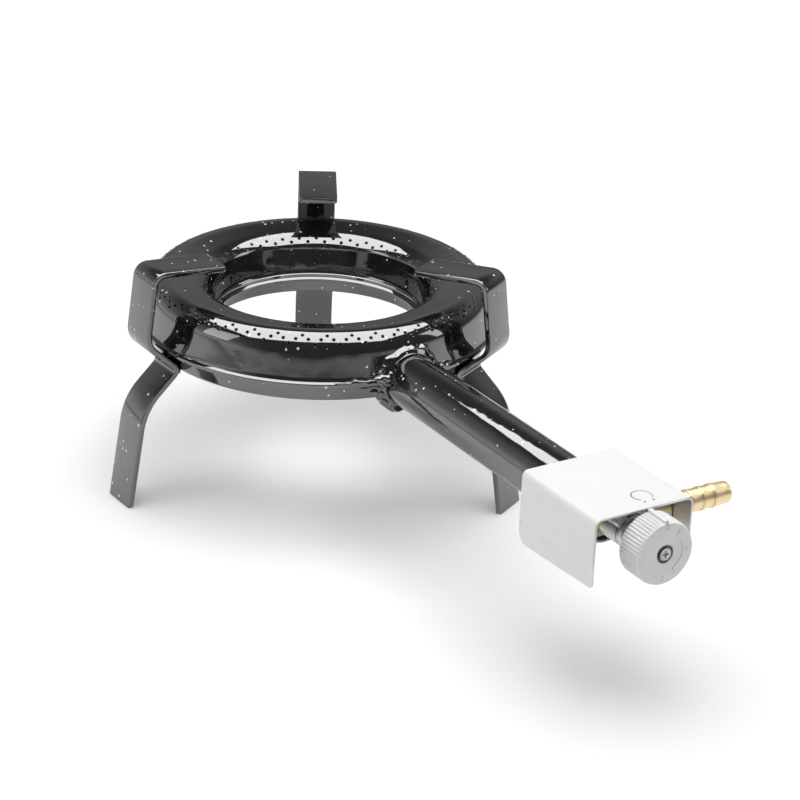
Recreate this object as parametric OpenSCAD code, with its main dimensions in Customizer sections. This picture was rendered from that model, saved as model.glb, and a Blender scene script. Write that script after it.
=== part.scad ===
// Paella gas burner: a hollow enamelled ring on three bent flat-bar legs, fed through
// a mixing tube by a small plug tap that sits under a folded sheet guard.
// The ring axis is Z, the floor is Z = 0 and the mixing tube runs along -Y to the knob.

/* [Ring] */
// Height of the tray's underside above the floor
tray_z = 67; // [50:0.5:90]
// Height of the tray, from its underside to the crimped lip
tray_h = 11; // [8:0.5:16]
// Height of the pressed ring above the crimped lip
ring_h = 22; // [20:0.5:32]
// Radius of the hole through the ring
hole_r = 54.5; // [48:0.5:60]
// Width of the ring's top between the centres of its shoulders
ring_flat_w = 12; // [6:0.5:14]
// Slope of the ring's top down towards the hole, in degrees
ring_dish = 11; // [0:1:13]
// Radius of the shoulder next to the hole
shoulder_in_r = 9; // [7:0.5:12.5]
// Radius of the outer shoulder
shoulder_out_r = 11; // [9:0.5:12.5]
// Lean of the outer wall from upright, in degrees
wall_lean = 12; // [6:1:16]
// Thickness of the pressed sheet
sheet_t = 1.2; // [0.8:0.1:1.6]
// Width of the crimped lip
lip_w = 1.5; // [1:0.1:2.5]
// How much the tray narrows from lip to underside, outside
tray_draft_out = 2.6; // [1.5:0.1:4]
// How much the tray narrows from lip to underside, inside
tray_draft_in = 1.6; // [1:0.1:3]

/* [Flame ports] */
// Diameter of a flame port
port_d = 1.5; // [1:0.1:1.8]
// Number of zigzags in the outer port band, four ports in each
port_zigzags_out = 43; // [24:1:46]
// Number of zigzags in the inner port band, two ports in each
port_zigzags_in = 41; // [24:1:44]
// Tilt of the highest outer row from straight up, in degrees
port_tilt_out = 27; // [24:1:36]
// Tilt between two outer rows, in degrees
port_step_out = 11.5; // [10:0.5:14]
// Tilt of the higher inner row from straight up, in degrees
port_tilt_in = 40; // [30:1:44]
// Tilt between the two inner rows, in degrees
port_step_in = 10; // [9:1:14]

/* [Legs] */
// Width of the flat bar
bar_w = 20; // [14:1:26]
// Thickness of the flat bar
bar_t = 3; // [2:0.25:4]
// Height of the pan pads' inner ends above the ring
pan_gap = 17.2; // [12:0.2:26]
// Rise of the pads towards their outer ends, in degrees
pad_slope = 4.8; // [0:0.2:8]
// Radius of the pad's inner end
pad_r = 59.5; // [50:0.5:70]
// Radius of the bracket's outer face at the pad
bracket_r = 99.5; // [98:0.5:112]
// Lean of the bracket from upright, in degrees
bracket_lean = 7.4; // [6:0.2:9]
// Height of the bracket's lower corner above the lip
bracket_rise = 4.8; // [3:0.1:4.9]
// Height of the weld notch above the tray's underside
notch_rise = 0.8; // [0.4:0.1:2]
// Radius of the knee's outer face
knee_r = 106.3; // [103:0.5:110]
// Drop of the knee below the tray's underside
knee_drop = 16; // [13:0.5:20]
// Radius of the foot's outer edge on the floor
foot_r = 114.5; // [112:0.5:122]
// Radius of the bend between pad and bracket
bracket_bend = 7; // [5:0.5:9]
// Radius of the bend below the bracket
bracket_foot_bend = 12; // [8:0.5:13]
// Radius of the bend in the weld notch
notch_bend = 2; // [1.5:0.25:3]
// Radius of the knee bend
knee_bend = 16; // [10:1:18]
// Angle from the tube to the right leg, in degrees
right_leg_angle = 28.4; // [26:0.2:36]
// Angle from the tube to the back leg, in degrees
back_leg_angle = 150.9; // [140:0.1:160]
// Angle from the tube to the left leg, in degrees
left_leg_angle = 272.3; // [260:0.1:280]

/* [Mixing tube] */
// Outside diameter of the tube
tube_d = 27; // [25:0.5:29]
// Wall of the tube
tube_wall = 1.5; // [1:0.1:1.8]
// Height of the tube's axis above the tray's underside
tube_rise = 8.5; // [8:0.25:11]
// Distance from the ring axis to the tube's open end
tube_end = 250; // [200:1:300]
// How far the tube reaches in under the lip
tube_tuck = 9; // [6:0.5:12]
// Diameter of the gas way into the ring
feed_d = 16; // [10:0.5:17]
// Reach of the weld collar out along the tube
weld_reach = 8; // [5:0.5:12]
// Thickness of the weld collar at the ring
weld_w = 4; // [2.5:0.5:6]

/* [Tap] */
// Thickness of the slotted air disc
disc_t = 2; // [1.5:0.25:3]
// Depth of the air disc inside the tube's end
disc_depth = 2; // [1:0.5:4]
// Number of curved air slots
slot_count = 3; // [3:1:4]
// Angle that one air slot covers, in degrees
slot_sweep = 84; // [50:1:84]
// Diameter of the tap's nose against the air disc
nose_d = 13; // [12:0.25:14]
// Diameter of the injector thread
jet_d = 8; // [6:0.25:8]
// Width across the flats of the injector
jet_flats = 10; // [9:0.5:11]
// Length of the injector ahead of the air disc
jet_l = 10; // [8:0.5:14]
// Diameter of the injector's orifice
orifice_d = 0.9; // [0.6:0.05:1.4]
// Diameter of the tap's barrel
barrel_d = 16; // [15.8:0.2:18]
// Length of the tap's barrel
barrel_l = 15; // [14.5:0.25:18]
// Large diameter of the tapered plug
plug_d = 12.4; // [12:0.1:13]
// Taper of the plug over its length, in diameter
plug_taper = 2; // [1:0.1:2.4]
// Diameter of the gas way through the tap
gas_way_d = 4; // [2.5:0.25:4.5]
// Diameter of the spindle
spindle_d = 8; // [7:0.25:8.5]
// Diameter of the spindle's tail inside the plug
tail_d = 5.2; // [5:0.1:5.6]
// Thickness of the drive tongue
tongue_t = 2.2; // [1.6:0.1:2.6]
// Push travel of the knob
push_travel = 2; // [1:0.25:2]
// Diameter of the return spring's wire
spring_wire = 0.5; // [0.4:0.05:0.5]
// Turns of the return spring
spring_turns = 3; // [2:1:3]
// Thickness of the gasket under the cover plate
gasket_t = 0.5; // [0.3:0.1:0.8]
// Thickness of the cover plate
plate_t = 1.5; // [1:0.25:2]
// Distance of each cover screw from the spindle axis
screw_r = 10; // [10:0.25:11]
// Diameter of the cover screws
screw_d = 3; // [2.5:0.25:3]

/* [Hose nozzle] */
// Width across the flats of the nozzle's hexagon
nozzle_flats = 13; // [12:0.5:14]
// Length of the hexagon
nozzle_hex_l = 9.5; // [6:0.5:10]
// Diameter over the barbs
barb_d = 11; // [10:0.25:12]
// Diameter of the nozzle between the barbs
barb_root_d = 9.2; // [8:0.1:9.4]
// Length of one barb
barb_l = 6.2; // [5:0.1:7]
// Length of the straight crest on a barb
barb_land = 1; // [0.6:0.1:1.6]
// Number of barbs
barb_count = 3; // [2:1:4]
// Plain length between hexagon and first barb
nozzle_neck = 14.7; // [10:0.1:20]
// Plain length of the nozzle's tip
nozzle_tip = 3.5; // [3:0.25:7]
// Bore of the nozzle
nozzle_bore = 5.6; // [4:0.1:6]
// Thickness of the sealing washer
washer_t = 0.8; // [0.5:0.1:1.2]

/* [Knob] */
// Diameter of the knob
knob_d = 29.5; // [26:0.5:32]
// Length of the knob
knob_l = 13.5; // [11.5:0.5:16]
// Number of grip flutes
flute_count = 56; // [40:1:64]
// Depth of a grip flute
flute_depth = 0.45; // [0.3:0.05:0.6]
// Wall of the knob
knob_wall = 2; // [1.5:0.1:2.5]
// Thickness of the knob's face
knob_face_t = 3; // [2.6:0.1:3.5]
// Width of the pointer rib
rib_w = 2.6; // [2:0.1:4]
// Height of the pointer rib over the rim
rib_h = 0.5; // [0.3:0.1:0.6]
// Diameter of the recess round the knob's screw
recess_d = 8.4; // [7.6:0.2:10]
// Depth of that recess
recess_depth = 2; // [1.5:0.1:2]

/* [Guard] */
// Width over the guard's flaps
guard_w = 51; // [50:0.5:56]
// Length of the guard
guard_l = 55; // [50:0.5:62]
// Height of the flaps at the ring end
flap_back_h = 34.5; // [30:0.5:38]
// Height of the flaps at the knob end
flap_front_h = 32; // [28:0.5:36]
// Thickness of the guard's sheet
guard_t = 0.8; // [0.6:0.1:1.2]
// Radius of the folds, outside
guard_fold = 3; // [2:0.5:4]
// Radius of the flaps' rear lower corners
flap_back_round = 6; // [3:0.5:9]
// Radius of the flaps' front lower corners
flap_front_round = 2; // [1:0.25:4]
// Gap between the guard's front edge and the knob pushed in
knob_clear = 0.5; // [0.3:0.1:1]
// Bare strip of sheet under the label on the left flap
label_bare = 8; // [5:0.5:12]
// Thickness of the label
label_t = 0.25; // [0.15:0.05:0.4]

/* [Hidden] */

$fn = 96;
eps = 0.5;
// Running clearance of turning and sliding pieces
run_gap = 0.06;
// Clearance of seated pieces
seat_gap = 0.05;
// Clearance between welded pieces, filled by the bead
weld_gap = 0.15;
// Clearance round a bolt or a piece that passes through sheet
pass_gap = 0.25;
// Clearance of the tray's walls inside the ring's
press_gap = 0.1;
// Straight pieces in each drawn bend
bend_steps = 8;

// Ring heights and radii
lip_z = tray_z + tray_h;
ring_top_z = lip_z + ring_h;
shoulder_out_c = [hole_r + shoulder_in_r + ring_flat_w, ring_top_z - shoulder_out_r];
dish_drop = (ring_flat_w * sin(ring_dish) + shoulder_in_r - shoulder_out_r) / cos(ring_dish);
shoulder_in_c = shoulder_out_c - [ring_flat_w, dish_drop];
wall_top = shoulder_out_c + shoulder_out_r * [cos(wall_lean), sin(wall_lean)];
wall_r = wall_top.x + (wall_top.y - lip_z) * tan(wall_lean);
lip_r = wall_r + lip_w;
tray_top_r = wall_r - sheet_t - press_gap;
tray_foot_r = tray_top_r - tray_draft_out;
tray_wall_h = tray_h - 2 * sheet_t;
tray_lean = atan(tray_draft_out / tray_wall_h);
tray_hole_top_r = hole_r + sheet_t + press_gap;
tray_hole_foot_r = tray_hole_top_r + tray_draft_in;

// Leg outline on its outer face, from the pad to the foot
pad_z = ring_top_z + pan_gap;
pad_corner = [bracket_r, pad_z + (bracket_r - pad_r) * tan(pad_slope)];
bracket_drop = pad_corner.y - lip_z - bracket_rise;
bracket_foot = pad_corner + bracket_drop * [tan(bracket_lean), -1];
notch_z = tray_z + notch_rise;
knee = [knee_r, tray_z - knee_drop];
notch_turn = abs(turn(bracket_foot, [tray_foot_r + bar_t, notch_z], knee));
notch_reach = (notch_bend + bar_t + weld_gap) / cos(tray_lean);
notch_r = tray_wall_r(notch_z) + notch_reach - notch_bend / cos(notch_turn / 2);
leg_points = [[pad_r, pad_z], pad_corner, bracket_foot, [notch_r, notch_z], knee, [foot_r, 0]];
leg_bends = [0, bracket_bend, bracket_foot_bend, notch_bend, knee_bend, 0];
leg_angles = [right_leg_angle, back_leg_angle, left_leg_angle];
tube_heading = 270;

// Places along the tube, as distances from the ring axis
tube_r = tube_d / 2;
tube_bore_r = tube_r - tube_wall;
tube_z = tray_z + tube_rise;
tube_start = lip_r - tube_tuck;
disc_front = tube_end - disc_depth;
disc_back = disc_front - disc_t;
barrel_off = 2;
barrel_start = tube_end + barrel_off;
barrel_end = barrel_start + barrel_l;
barrel_floor = 1.5;
plug_start = barrel_start + barrel_floor;
collar_t = 1.3;
collar_out = 0.3;
collar_end = barrel_end + collar_out;
collar_start = collar_end - collar_t;
end_play = 0.5;
plug_end = collar_start - push_travel - end_play;
way_floor = 0.3;
nozzle_at = plug_start + gas_way_d / 2 + way_floor;
spring_seat = nozzle_at + gas_way_d / 2 + 2 * seat_gap;
tail_in = 1.3;
tail_end = plug_end - tail_in;
ear_wall = 1.5;
ear_d = screw_d + 2 * ear_wall;
ear_l = 8;
screw_hole_l = 6;
gasket_end = barrel_end + gasket_t;
plate_end = gasket_end + plate_t;
guard_out = 7;
guard_front = plate_end + guard_out;
guard_back = guard_front - guard_l;
knob_back = guard_front + push_travel + knob_clear;
knob_front = knob_back + knob_l;
screw_seat = knob_front - recess_depth;
spindle_in = 2.5;
spindle_end = knob_front - knob_face_t - recess_depth - spindle_in;
flat_start = knob_back + 1;
flat_depth = 1.2;
flat_y = spindle_d / 2 - flat_depth;

// Hose nozzle, measured out from the tap's axis
side_boss_d = 2 * (nozzle_at - tube_end - pass_gap / 2);
side_boss_out = 5;
side_boss_end = barrel_d / 2 + side_boss_out;
washer_end = side_boss_end + washer_t;
hex_end = washer_end + nozzle_hex_l;
barbs_start = hex_end + nozzle_neck;
barbs_end = barbs_start + barb_count * barb_l;
nozzle_end = barbs_end + nozzle_tip;
nozzle_thread_d = 8;
nozzle_thread_l = 3.2;

// Guard section, seen from the knob
guard_top = tube_r + seat_gap + guard_t;
guard_half = guard_w / 2;
guard_points = [
    [-guard_half, guard_top - flap_back_h - eps], [-guard_half, guard_top],
    [guard_half, guard_top], [guard_half, guard_top - flap_back_h - eps]
];
label_low = guard_top - flap_front_h + label_bare;

enamel = [0.05, 0.05, 0.06];
zinc = [0.72, 0.74, 0.76];
brass = [0.83, 0.68, 0.38];

// Unit vector along v
function unit(v) = v / norm(v);

// Right-hand normal of the line from a to b
function side(a, b) = let (u = unit(b - a)) [u.y, -u.x];

// Signed turn at b on the way from a to c, left turns positive
function turn(a, b, c) =
    let (u = unit(b - a), w = unit(c - b)) atan2(u.x * w.y - u.y * w.x, u * w);

// Points of the bend at b, shifted to the right of the line by off
function bend(a, b, c, r, off) =
    let (
        t = turn(a, b, c),
        s = sign(t),
        n = side(a, b),
        start = b - unit(b - a) * r * tan(abs(t) / 2),
        centre = start - s * n * r,
        first = atan2(s * n.y, s * n.x)
    )
    [for (k = [0:bend_steps]) let (q = first + t * k / bend_steps)
        centre + (r + s * off) * [cos(q), sin(q)]];

// A line with rounded corners, shifted to its right by off
function bent_line(p, r, off) =
    let (last = len(p) - 1)
    concat(
        [p[0] + side(p[0], p[1]) * off],
        [for (i = [1:last - 1]) each bend(p[i - 1], p[i], p[i + 1], r[i], off)],
        [p[last] + side(p[last - 1], p[last]) * off]
    );

// The same points from last to first
function reversed(p) = [for (i = [len(p) - 1:-1:0]) p[i]];

// Points of an arc in equal steps
function arc(c, r, from, to) =
    [for (k = [0:bend_steps]) let (q = from + (to - from) * k / bend_steps) c + r * [cos(q), sin(q)]];

// Radius of the tray's outer wall at height z
function tray_wall_r(z) = tray_foot_r + (z - tray_z) * tan(tray_lean);

// Outer line of the ring's section between the two lips, moved in by off
function ring_line(off) = concat(
    arc(shoulder_in_c, shoulder_in_r - off, 180, 90 + ring_dish),
    arc(shoulder_out_c, shoulder_out_r - off, 90 + ring_dish, wall_lean)
);

// A bent flat strip between two offsets of the same line
module strip(p, r, from, to) {
    polygon(concat(bent_line(p, r, from), reversed(bent_line(p, r, to))));
}

// Places a piece on the tube's axis: its Z is the distance from the ring axis, its Y is up
module on_tube(at = 0) {
    translate([0, -at, tube_z]) rotate([90, 0, 0]) children();
}

// Places a piece of the hose nozzle: its Z is the distance from the tap's axis
module on_nozzle(at = 0) {
    on_tube(nozzle_at) rotate([0, 90, 0]) translate([0, 0, at]) children();
}

// Solid outline of ring and tray together, grown by gap
module ring_envelope(gap) {
    rotate_extrude() polygon(concat(
        [[tray_hole_foot_r - gap, tray_z - gap], [hole_r - lip_w - gap, lip_z - 2 * sheet_t - gap]],
        [[hole_r - lip_w - gap, lip_z + gap]],
        ring_line(-gap),
        [[wall_r + gap, lip_z + gap], [lip_r + gap, lip_z + gap]],
        [[lip_r + gap, lip_z - 2 * sheet_t - gap]],
        [[tray_wall_r(lip_z - 2 * sheet_t) + gap, lip_z - 2 * sheet_t - gap]],
        [[tray_foot_r + gap, tray_z - gap]]
    ));
}

// One flame port, square to a shoulder with centre c and radius r
module port(angle, c, r, tilt) {
    rotate([0, 0, angle]) translate([c.x, 0, c.y]) rotate([0, tilt, 0])
        translate([0, 0, r - 2 * sheet_t]) cylinder(d = port_d, h = 4 * sheet_t, $fn = 16);
}

// All flame ports in their two zigzag bands
module ports() {
    out_count = 4 * port_zigzags_out;
    for (k = [0:out_count - 1])
        port(k * 360 / out_count, shoulder_out_c, shoulder_out_r,
            port_tilt_out + port_step_out * [0, 1, 2, 1][k % 4]);
    in_count = 2 * port_zigzags_in;
    for (k = [0:in_count - 1])
        port(k * 360 / in_count, shoulder_in_c, shoulder_in_r,
            -port_tilt_in - port_step_in * (k % 2));
}

// The way for gas and air through the outer wall into the ring
module feed_way() {
    reach = tray_top_r - tube_start + 2 * sheet_t;
    on_tube(tube_start - reach) cylinder(d = feed_d, h = reach + tube_tuck + 2 * lip_w);
}

// Pressed upper half of the ring
module burner_ring() {
    color(enamel) difference() {
        rotate_extrude() polygon(concat(
            [[hole_r - lip_w, lip_z - sheet_t], [hole_r - lip_w, lip_z], [hole_r, lip_z]],
            ring_line(0),
            [[wall_r, lip_z], [lip_r, lip_z], [lip_r, lip_z - sheet_t]],
            [[wall_r - sheet_t, lip_z - sheet_t]],
            reversed(ring_line(sheet_t)),
            [[hole_r + sheet_t, lip_z - sheet_t]]
        ));
        ports();
        feed_way();
    }
}

// Tray that closes the ring from below
module burner_tray() {
    rim = lip_z - sheet_t;
    color(enamel) difference() {
        rotate_extrude() polygon([
            [hole_r - lip_w, rim], [hole_r - lip_w, rim - sheet_t],
            [tray_hole_top_r, rim - sheet_t], [tray_hole_foot_r, tray_z],
            [tray_foot_r, tray_z], [tray_top_r, rim - sheet_t],
            [lip_r, rim - sheet_t], [lip_r, rim],
            [tray_top_r - sheet_t, rim], [tray_foot_r - sheet_t, tray_z + sheet_t],
            [tray_hole_foot_r + sheet_t, tray_z + sheet_t], [tray_hole_top_r + sheet_t, rim]
        ]);
        feed_way();
    }
}

// Flat-bar leg, bracket and pad in one bent piece, standing along +X
module leg() {
    outer = bent_line(leg_points, leg_bends, 0);
    inner = bent_line(leg_points, leg_bends, bar_t);
    last = len(inner) - 1;
    shin = unit([foot_r, 0] - knee);
    inner_foot = inner[last] - shin * inner[last].y / shin.y;
    inner_cut = [for (i = [0:last]) i == last ? inner_foot : inner[i]];
    rotate([90, 0, 0]) linear_extrude(bar_w, center = true) polygon(concat(outer, reversed(inner_cut)));
}

// Turns a piece from +X to the place of a leg
module at_leg(angle) {
    rotate([0, 0, tube_heading + angle]) children();
}

module leg_right() {
    color(enamel) at_leg(right_leg_angle) leg();
}

module leg_back() {
    color(enamel) at_leg(back_leg_angle) leg();
}

module leg_left() {
    color(enamel) at_leg(left_leg_angle) leg();
}

// Weld beads that fill the notch between each leg and the tray
module leg_welds() {
    bead_r = bar_t;
    bead_l = 0.9 * bar_w;
    color(enamel) for (angle = leg_angles) at_leg(angle) difference() {
        translate([tray_foot_r, 0, tray_z - bead_r / 2]) rotate([90, 0, 0])
            cylinder(r = bead_r, h = bead_l, center = true, $fn = 32);
        leg();
        ring_envelope(seat_gap);
    }
}

// Tube in which gas and air mix on the way to the ring
module mixing_tube() {
    color(enamel) difference() {
        on_tube(tube_start) cylinder(r = tube_r, h = tube_end - tube_start);
        on_tube(tube_start - eps) cylinder(r = tube_bore_r, h = tube_end - tube_start + 2 * eps);
        ring_envelope(weld_gap);
    }
}

// Saddle-shaped weld where the tube meets the ring
module tube_weld() {
    base = tube_start + 2;
    collar_l = lip_r + weld_reach - base;
    collar_edge = 0.6;
    color(enamel) difference() {
        on_tube(base) cylinder(r1 = tube_r + weld_w, r2 = tube_r + collar_edge, h = collar_l);
        on_tube(base - eps) cylinder(r = tube_r + seat_gap, h = collar_l + 2 * eps);
        ring_envelope(weld_gap);
    }
}

// One sector of a flat ring
module sector(r_in, r_out, sweep) {
    intersection() {
        difference() {
            circle(r = r_out);
            circle(r = r_in);
        }
        polygon([
            [0, 0], 2 * r_out * [cos(-sweep / 2), sin(-sweep / 2)], [2 * r_out, 0],
            2 * r_out * [cos(sweep / 2), sin(sweep / 2)]
        ]);
    }
}

// Slotted disc in the tube's end that lets air in round the injector
module air_disc() {
    slot_in = nose_d / 2 + 0.7;
    slot_out = tube_bore_r - 1.6;
    color(zinc) on_tube(disc_back) difference() {
        cylinder(r = tube_bore_r - seat_gap, h = disc_t);
        translate([0, 0, -eps]) cylinder(d = jet_d + 2 * seat_gap, h = disc_t + 2 * eps);
        for (k = [0:slot_count - 1]) rotate([0, 0, 90 + k * 360 / slot_count])
            translate([0, 0, -eps]) linear_extrude(disc_t + 2 * eps)
                sector(slot_in, slot_out, slot_sweep);
    }
}

// Brass injector screwed through the air disc into the tap
module injector() {
    hex_l = jet_l * 0.6;
    tip_d = 0.4 * jet_flats;
    tip_t = 2;
    color(brass) difference() {
        union() {
            on_tube(disc_back - hex_l) cylinder(d = jet_flats / cos(30), h = hex_l, $fn = 6);
            on_tube(disc_back - jet_l) cylinder(d1 = tip_d, d2 = 2 * tip_d, h = jet_l - hex_l);
            on_tube(disc_back) cylinder(d = jet_d, h = barrel_start - disc_back);
        }
        on_tube(disc_back - jet_l + tip_t)
            cylinder(d = gas_way_d / 2, h = jet_l + barrel_start - disc_back);
        on_tube(disc_back - jet_l - eps) cylinder(d = orifice_d, h = jet_l);
    }
}

// Places a piece on the axis of one of the two cover screws, set aslant
module at_screw(s) {
    rotate([0, 0, -45]) translate([s * screw_r, 0, 0]) children();
}

// Brass body of the plug tap
module tap_body() {
    plug_r = plug_d / 2 + run_gap;
    thread_deep = nozzle_thread_l + pass_gap;
    color(brass) difference() {
        union() {
            on_tube(disc_front) cylinder(d = nose_d, h = barrel_start - disc_front + eps);
            on_tube(barrel_start) cylinder(d = barrel_d, h = barrel_l - ear_l);
            on_tube(barrel_end - ear_l) linear_extrude(ear_l) cover_outline();
            on_nozzle() cylinder(d = side_boss_d, h = side_boss_end);
        }
        on_tube(disc_front - eps) cylinder(d = jet_d + 2 * seat_gap, h = barrel_start - disc_front + eps);
        on_tube(barrel_start - eps) cylinder(d = gas_way_d / 2, h = barrel_floor + 2 * eps);
        on_tube(plug_start)
            cylinder(r1 = plug_r - plug_taper / 2, r2 = plug_r, h = plug_end - plug_start);
        on_tube(plug_end) cylinder(r = plug_r + pass_gap, h = barrel_end - plug_end + eps);
        on_nozzle() cylinder(d = gas_way_d, h = side_boss_end);
        on_nozzle(side_boss_end - thread_deep)
            cylinder(d = nozzle_thread_d + 2 * seat_gap, h = thread_deep + eps);
        for (s = [-1, 1]) on_tube(barrel_end - screw_hole_l) at_screw(s)
            cylinder(d = screw_d + 2 * seat_gap, h = screw_hole_l + eps);
    }
}

// Tapered plug that opens and shuts the gas way
module tap_plug() {
    color(brass) difference() {
        on_tube(plug_start + run_gap)
            cylinder(d1 = plug_d - plug_taper, d2 = plug_d, h = plug_end - plug_start - run_gap);
        on_tube(plug_start) cylinder(d = gas_way_d / 2, h = nozzle_at - plug_start);
        on_tube(nozzle_at) rotate([90, 0, 0]) cylinder(d = gas_way_d, h = plug_d);
        on_tube(spring_seat) cylinder(d = tail_d + 2 * run_gap, h = plug_end);
        on_tube(tail_end - push_travel - pass_gap) translate([-plug_d, -tongue_t / 2 - run_gap, 0])
            cube([2 * plug_d, tongue_t + 2 * run_gap, plug_end]);
    }
}

// Point of the spring's round wire at turn q of the helix and angle w of the wire
function spring_point(q, w) =
    let (
        mean_r = tail_d / 2 - spring_wire / 2 - 0.1,
        rise = tail_end - spring_seat - spring_wire - 0.1,
        r = mean_r + spring_wire / 2 * cos(w)
    )
    [r * cos(360 * q), r * sin(360 * q), rise * q / spring_turns + spring_wire / 2 * sin(w)];

// Return spring between the plug and the spindle's tail, one unbroken wire
module return_spring() {
    sides = 6;
    steps = spring_turns * 10;
    ring_points = [for (i = [0:steps], k = [0:sides - 1])
        spring_point(spring_turns * i / steps, 360 * k / sides)];
    walls = [for (i = [0:steps - 1], k = [0:sides - 1])
        let (a = i * sides + k, b = i * sides + (k + 1) % sides)
            each [[a, b, a + sides], [b, b + sides, a + sides]]];
    first_cap = [for (k = [1:sides - 2]) [0, k + 1, k]];
    last = steps * sides;
    last_cap = [for (k = [1:sides - 2]) [last, last + k, last + k + 1]];
    color(zinc) on_tube(spring_seat + spring_wire / 2 + 0.05)
        polyhedron(ring_points, concat(walls, first_cap, last_cap));
}

// Spindle with its drive tongue, which slides in the plug and turns it
module spindle() {
    tongue_w = plug_d - 2;
    hole_l = 2 * screw_d + 1;
    color(zinc) difference() {
        union() {
            on_tube(tail_end) cylinder(d = tail_d, h = collar_start - tail_end + eps);
            on_tube(tail_end) translate([-tongue_w / 2, -tongue_t / 2, 0])
                cube([tongue_w, tongue_t, collar_start - tail_end + eps]);
            on_tube(collar_start) cylinder(d = plug_d - 1, h = collar_t);
            on_tube(collar_start) cylinder(d = spindle_d, h = spindle_end - collar_start);
        }
        on_tube(flat_start) translate([-spindle_d, flat_y, 0]) cube([2 * spindle_d, spindle_d, knob_l]);
        on_tube(spindle_end - hole_l) cylinder(d = screw_d + 2 * seat_gap, h = hole_l + eps);
    }
}

// Flat outline of the cover plate, with its two ears set aslant
module cover_outline() {
    circle(d = barrel_d);
    for (s = [-1, 1]) at_screw(s) circle(d = ear_d);
}

// Fibre gasket under the cover plate
module cover_gasket() {
    color("dimgray") on_tube(barrel_end) difference() {
        linear_extrude(gasket_t) cover_outline();
        translate([0, 0, -eps]) cylinder(d = plug_d + 2 * (run_gap + pass_gap), h = gasket_t + 2 * eps);
        for (s = [-1, 1]) at_screw(s) translate([0, 0, -eps])
            cylinder(d = screw_d + 2 * pass_gap, h = gasket_t + 2 * eps);
    }
}

// Plated cover that keeps plug and spindle in the tap
module cover_plate() {
    color(zinc) on_tube(gasket_end) difference() {
        linear_extrude(plate_t) cover_outline();
        translate([0, 0, -eps]) cylinder(d = spindle_d + 2 * run_gap, h = plate_t + 2 * eps);
        for (s = [-1, 1]) at_screw(s) translate([0, 0, -eps])
            cylinder(d = screw_d + 2 * pass_gap, h = plate_t + 2 * eps);
    }
}

// Pan-head screw with a cross recess, its head seated at Z = 0
module pan_screw(shank_l) {
    head_h = screw_d * 0.65;
    cross_l = screw_d * 1.1;
    cross_w = screw_d * 0.2;
    difference() {
        union() {
            cylinder(d = screw_d * 1.9, h = head_h);
            translate([0, 0, -shank_l]) cylinder(d = screw_d, h = shank_l + eps);
        }
        for (q = [0, 90]) rotate([0, 0, q]) translate([-cross_l / 2, -cross_w / 2, head_h / 2])
            cube([cross_l, cross_w, head_h]);
    }
}

// The two screws of the cover plate
module cover_screws() {
    color(zinc) for (s = [-1, 1]) on_tube(plate_end) at_screw(s)
        pan_screw(plate_t + gasket_t + screw_hole_l - 1);
}

// Sealing washer of the hose nozzle
module nozzle_washer() {
    color("dimgray") on_nozzle(side_boss_end) difference() {
        cylinder(d = side_boss_d, h = washer_t);
        translate([0, 0, -eps]) cylinder(d = nozzle_thread_d + 2 * pass_gap, h = washer_t + 2 * eps);
    }
}

// Hose nozzle with hexagon and barbs
module hose_nozzle() {
    thread_start = side_boss_end - nozzle_thread_l;
    barb_r = barb_d / 2;
    root_r = barb_root_d / 2;
    color(brass) on_nozzle() difference() {
        union() {
            translate([0, 0, thread_start]) cylinder(d = nozzle_thread_d, h = washer_end - thread_start);
            translate([0, 0, washer_end]) cylinder(d = nozzle_flats / cos(30), h = nozzle_hex_l, $fn = 6);
            translate([0, 0, hex_end]) cylinder(r = root_r, h = nozzle_end - hex_end);
            for (k = [0:barb_count - 1]) translate([0, 0, barbs_start + k * barb_l]) {
                cylinder(r = barb_r, h = barb_land);
                translate([0, 0, barb_land]) cylinder(r1 = barb_r, r2 = root_r, h = barb_l - barb_land);
            }
        }
        translate([0, 0, thread_start - eps])
            cylinder(d = nozzle_bore, h = nozzle_end - thread_start + 2 * eps);
    }
}

// Fluted outline of the knob
module fluted_circle() {
    polygon([for (k = [0:2 * flute_count - 1])
        let (r = knob_d / 2 - (k % 2) * flute_depth, q = 180 * k / flute_count) r * [cos(q), sin(q)]]);
}

// Turning knob with its pointer rib and screw recess
module knob() {
    bore_d = spindle_d + 2 * seat_gap;
    boss_d = spindle_d + 2.2 * knob_wall;
    hollow = knob_l - knob_face_t - recess_depth;
    face_d = knob_d - 2 * flute_depth - 0.5;
    rib_root = 0.6 * knob_wall;
    knob_edge = 1;
    color([0.72, 0.72, 0.72]) difference() {
        union() {
            on_tube(knob_back) linear_extrude(knob_l - knob_edge) fluted_circle();
            on_tube(knob_front - knob_edge) cylinder(d1 = face_d, d2 = face_d - knob_edge, h = knob_edge);
            on_tube(knob_back) translate([-rib_w / 2, knob_d / 2 - rib_root, 0])
                cube([rib_w, rib_root + rib_h, knob_l - knob_edge / 2]);
        }
        on_tube(knob_back - eps) difference() {
            cylinder(d = knob_d - 2 * knob_wall, h = hollow + eps);
            cylinder(d = boss_d, h = hollow + 2 * eps);
        }
        on_tube(knob_back - eps) difference() {
            cylinder(d = bore_d, h = spindle_end - knob_back + eps + seat_gap);
            translate([-spindle_d, flat_y + seat_gap, flat_start - knob_back + eps + seat_gap])
                cube([2 * spindle_d, spindle_d, knob_l]);
        }
        on_tube(spindle_end) cylinder(d = screw_d + 2 * pass_gap, h = knob_l);
        on_tube(screw_seat) cylinder(d = recess_d, h = recess_depth + eps);
    }
}

// Screw that holds the knob on the spindle
module knob_screw() {
    color(zinc) on_tube(screw_seat) pan_screw(screw_seat - spindle_end + 2 * screw_d);
}

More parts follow.
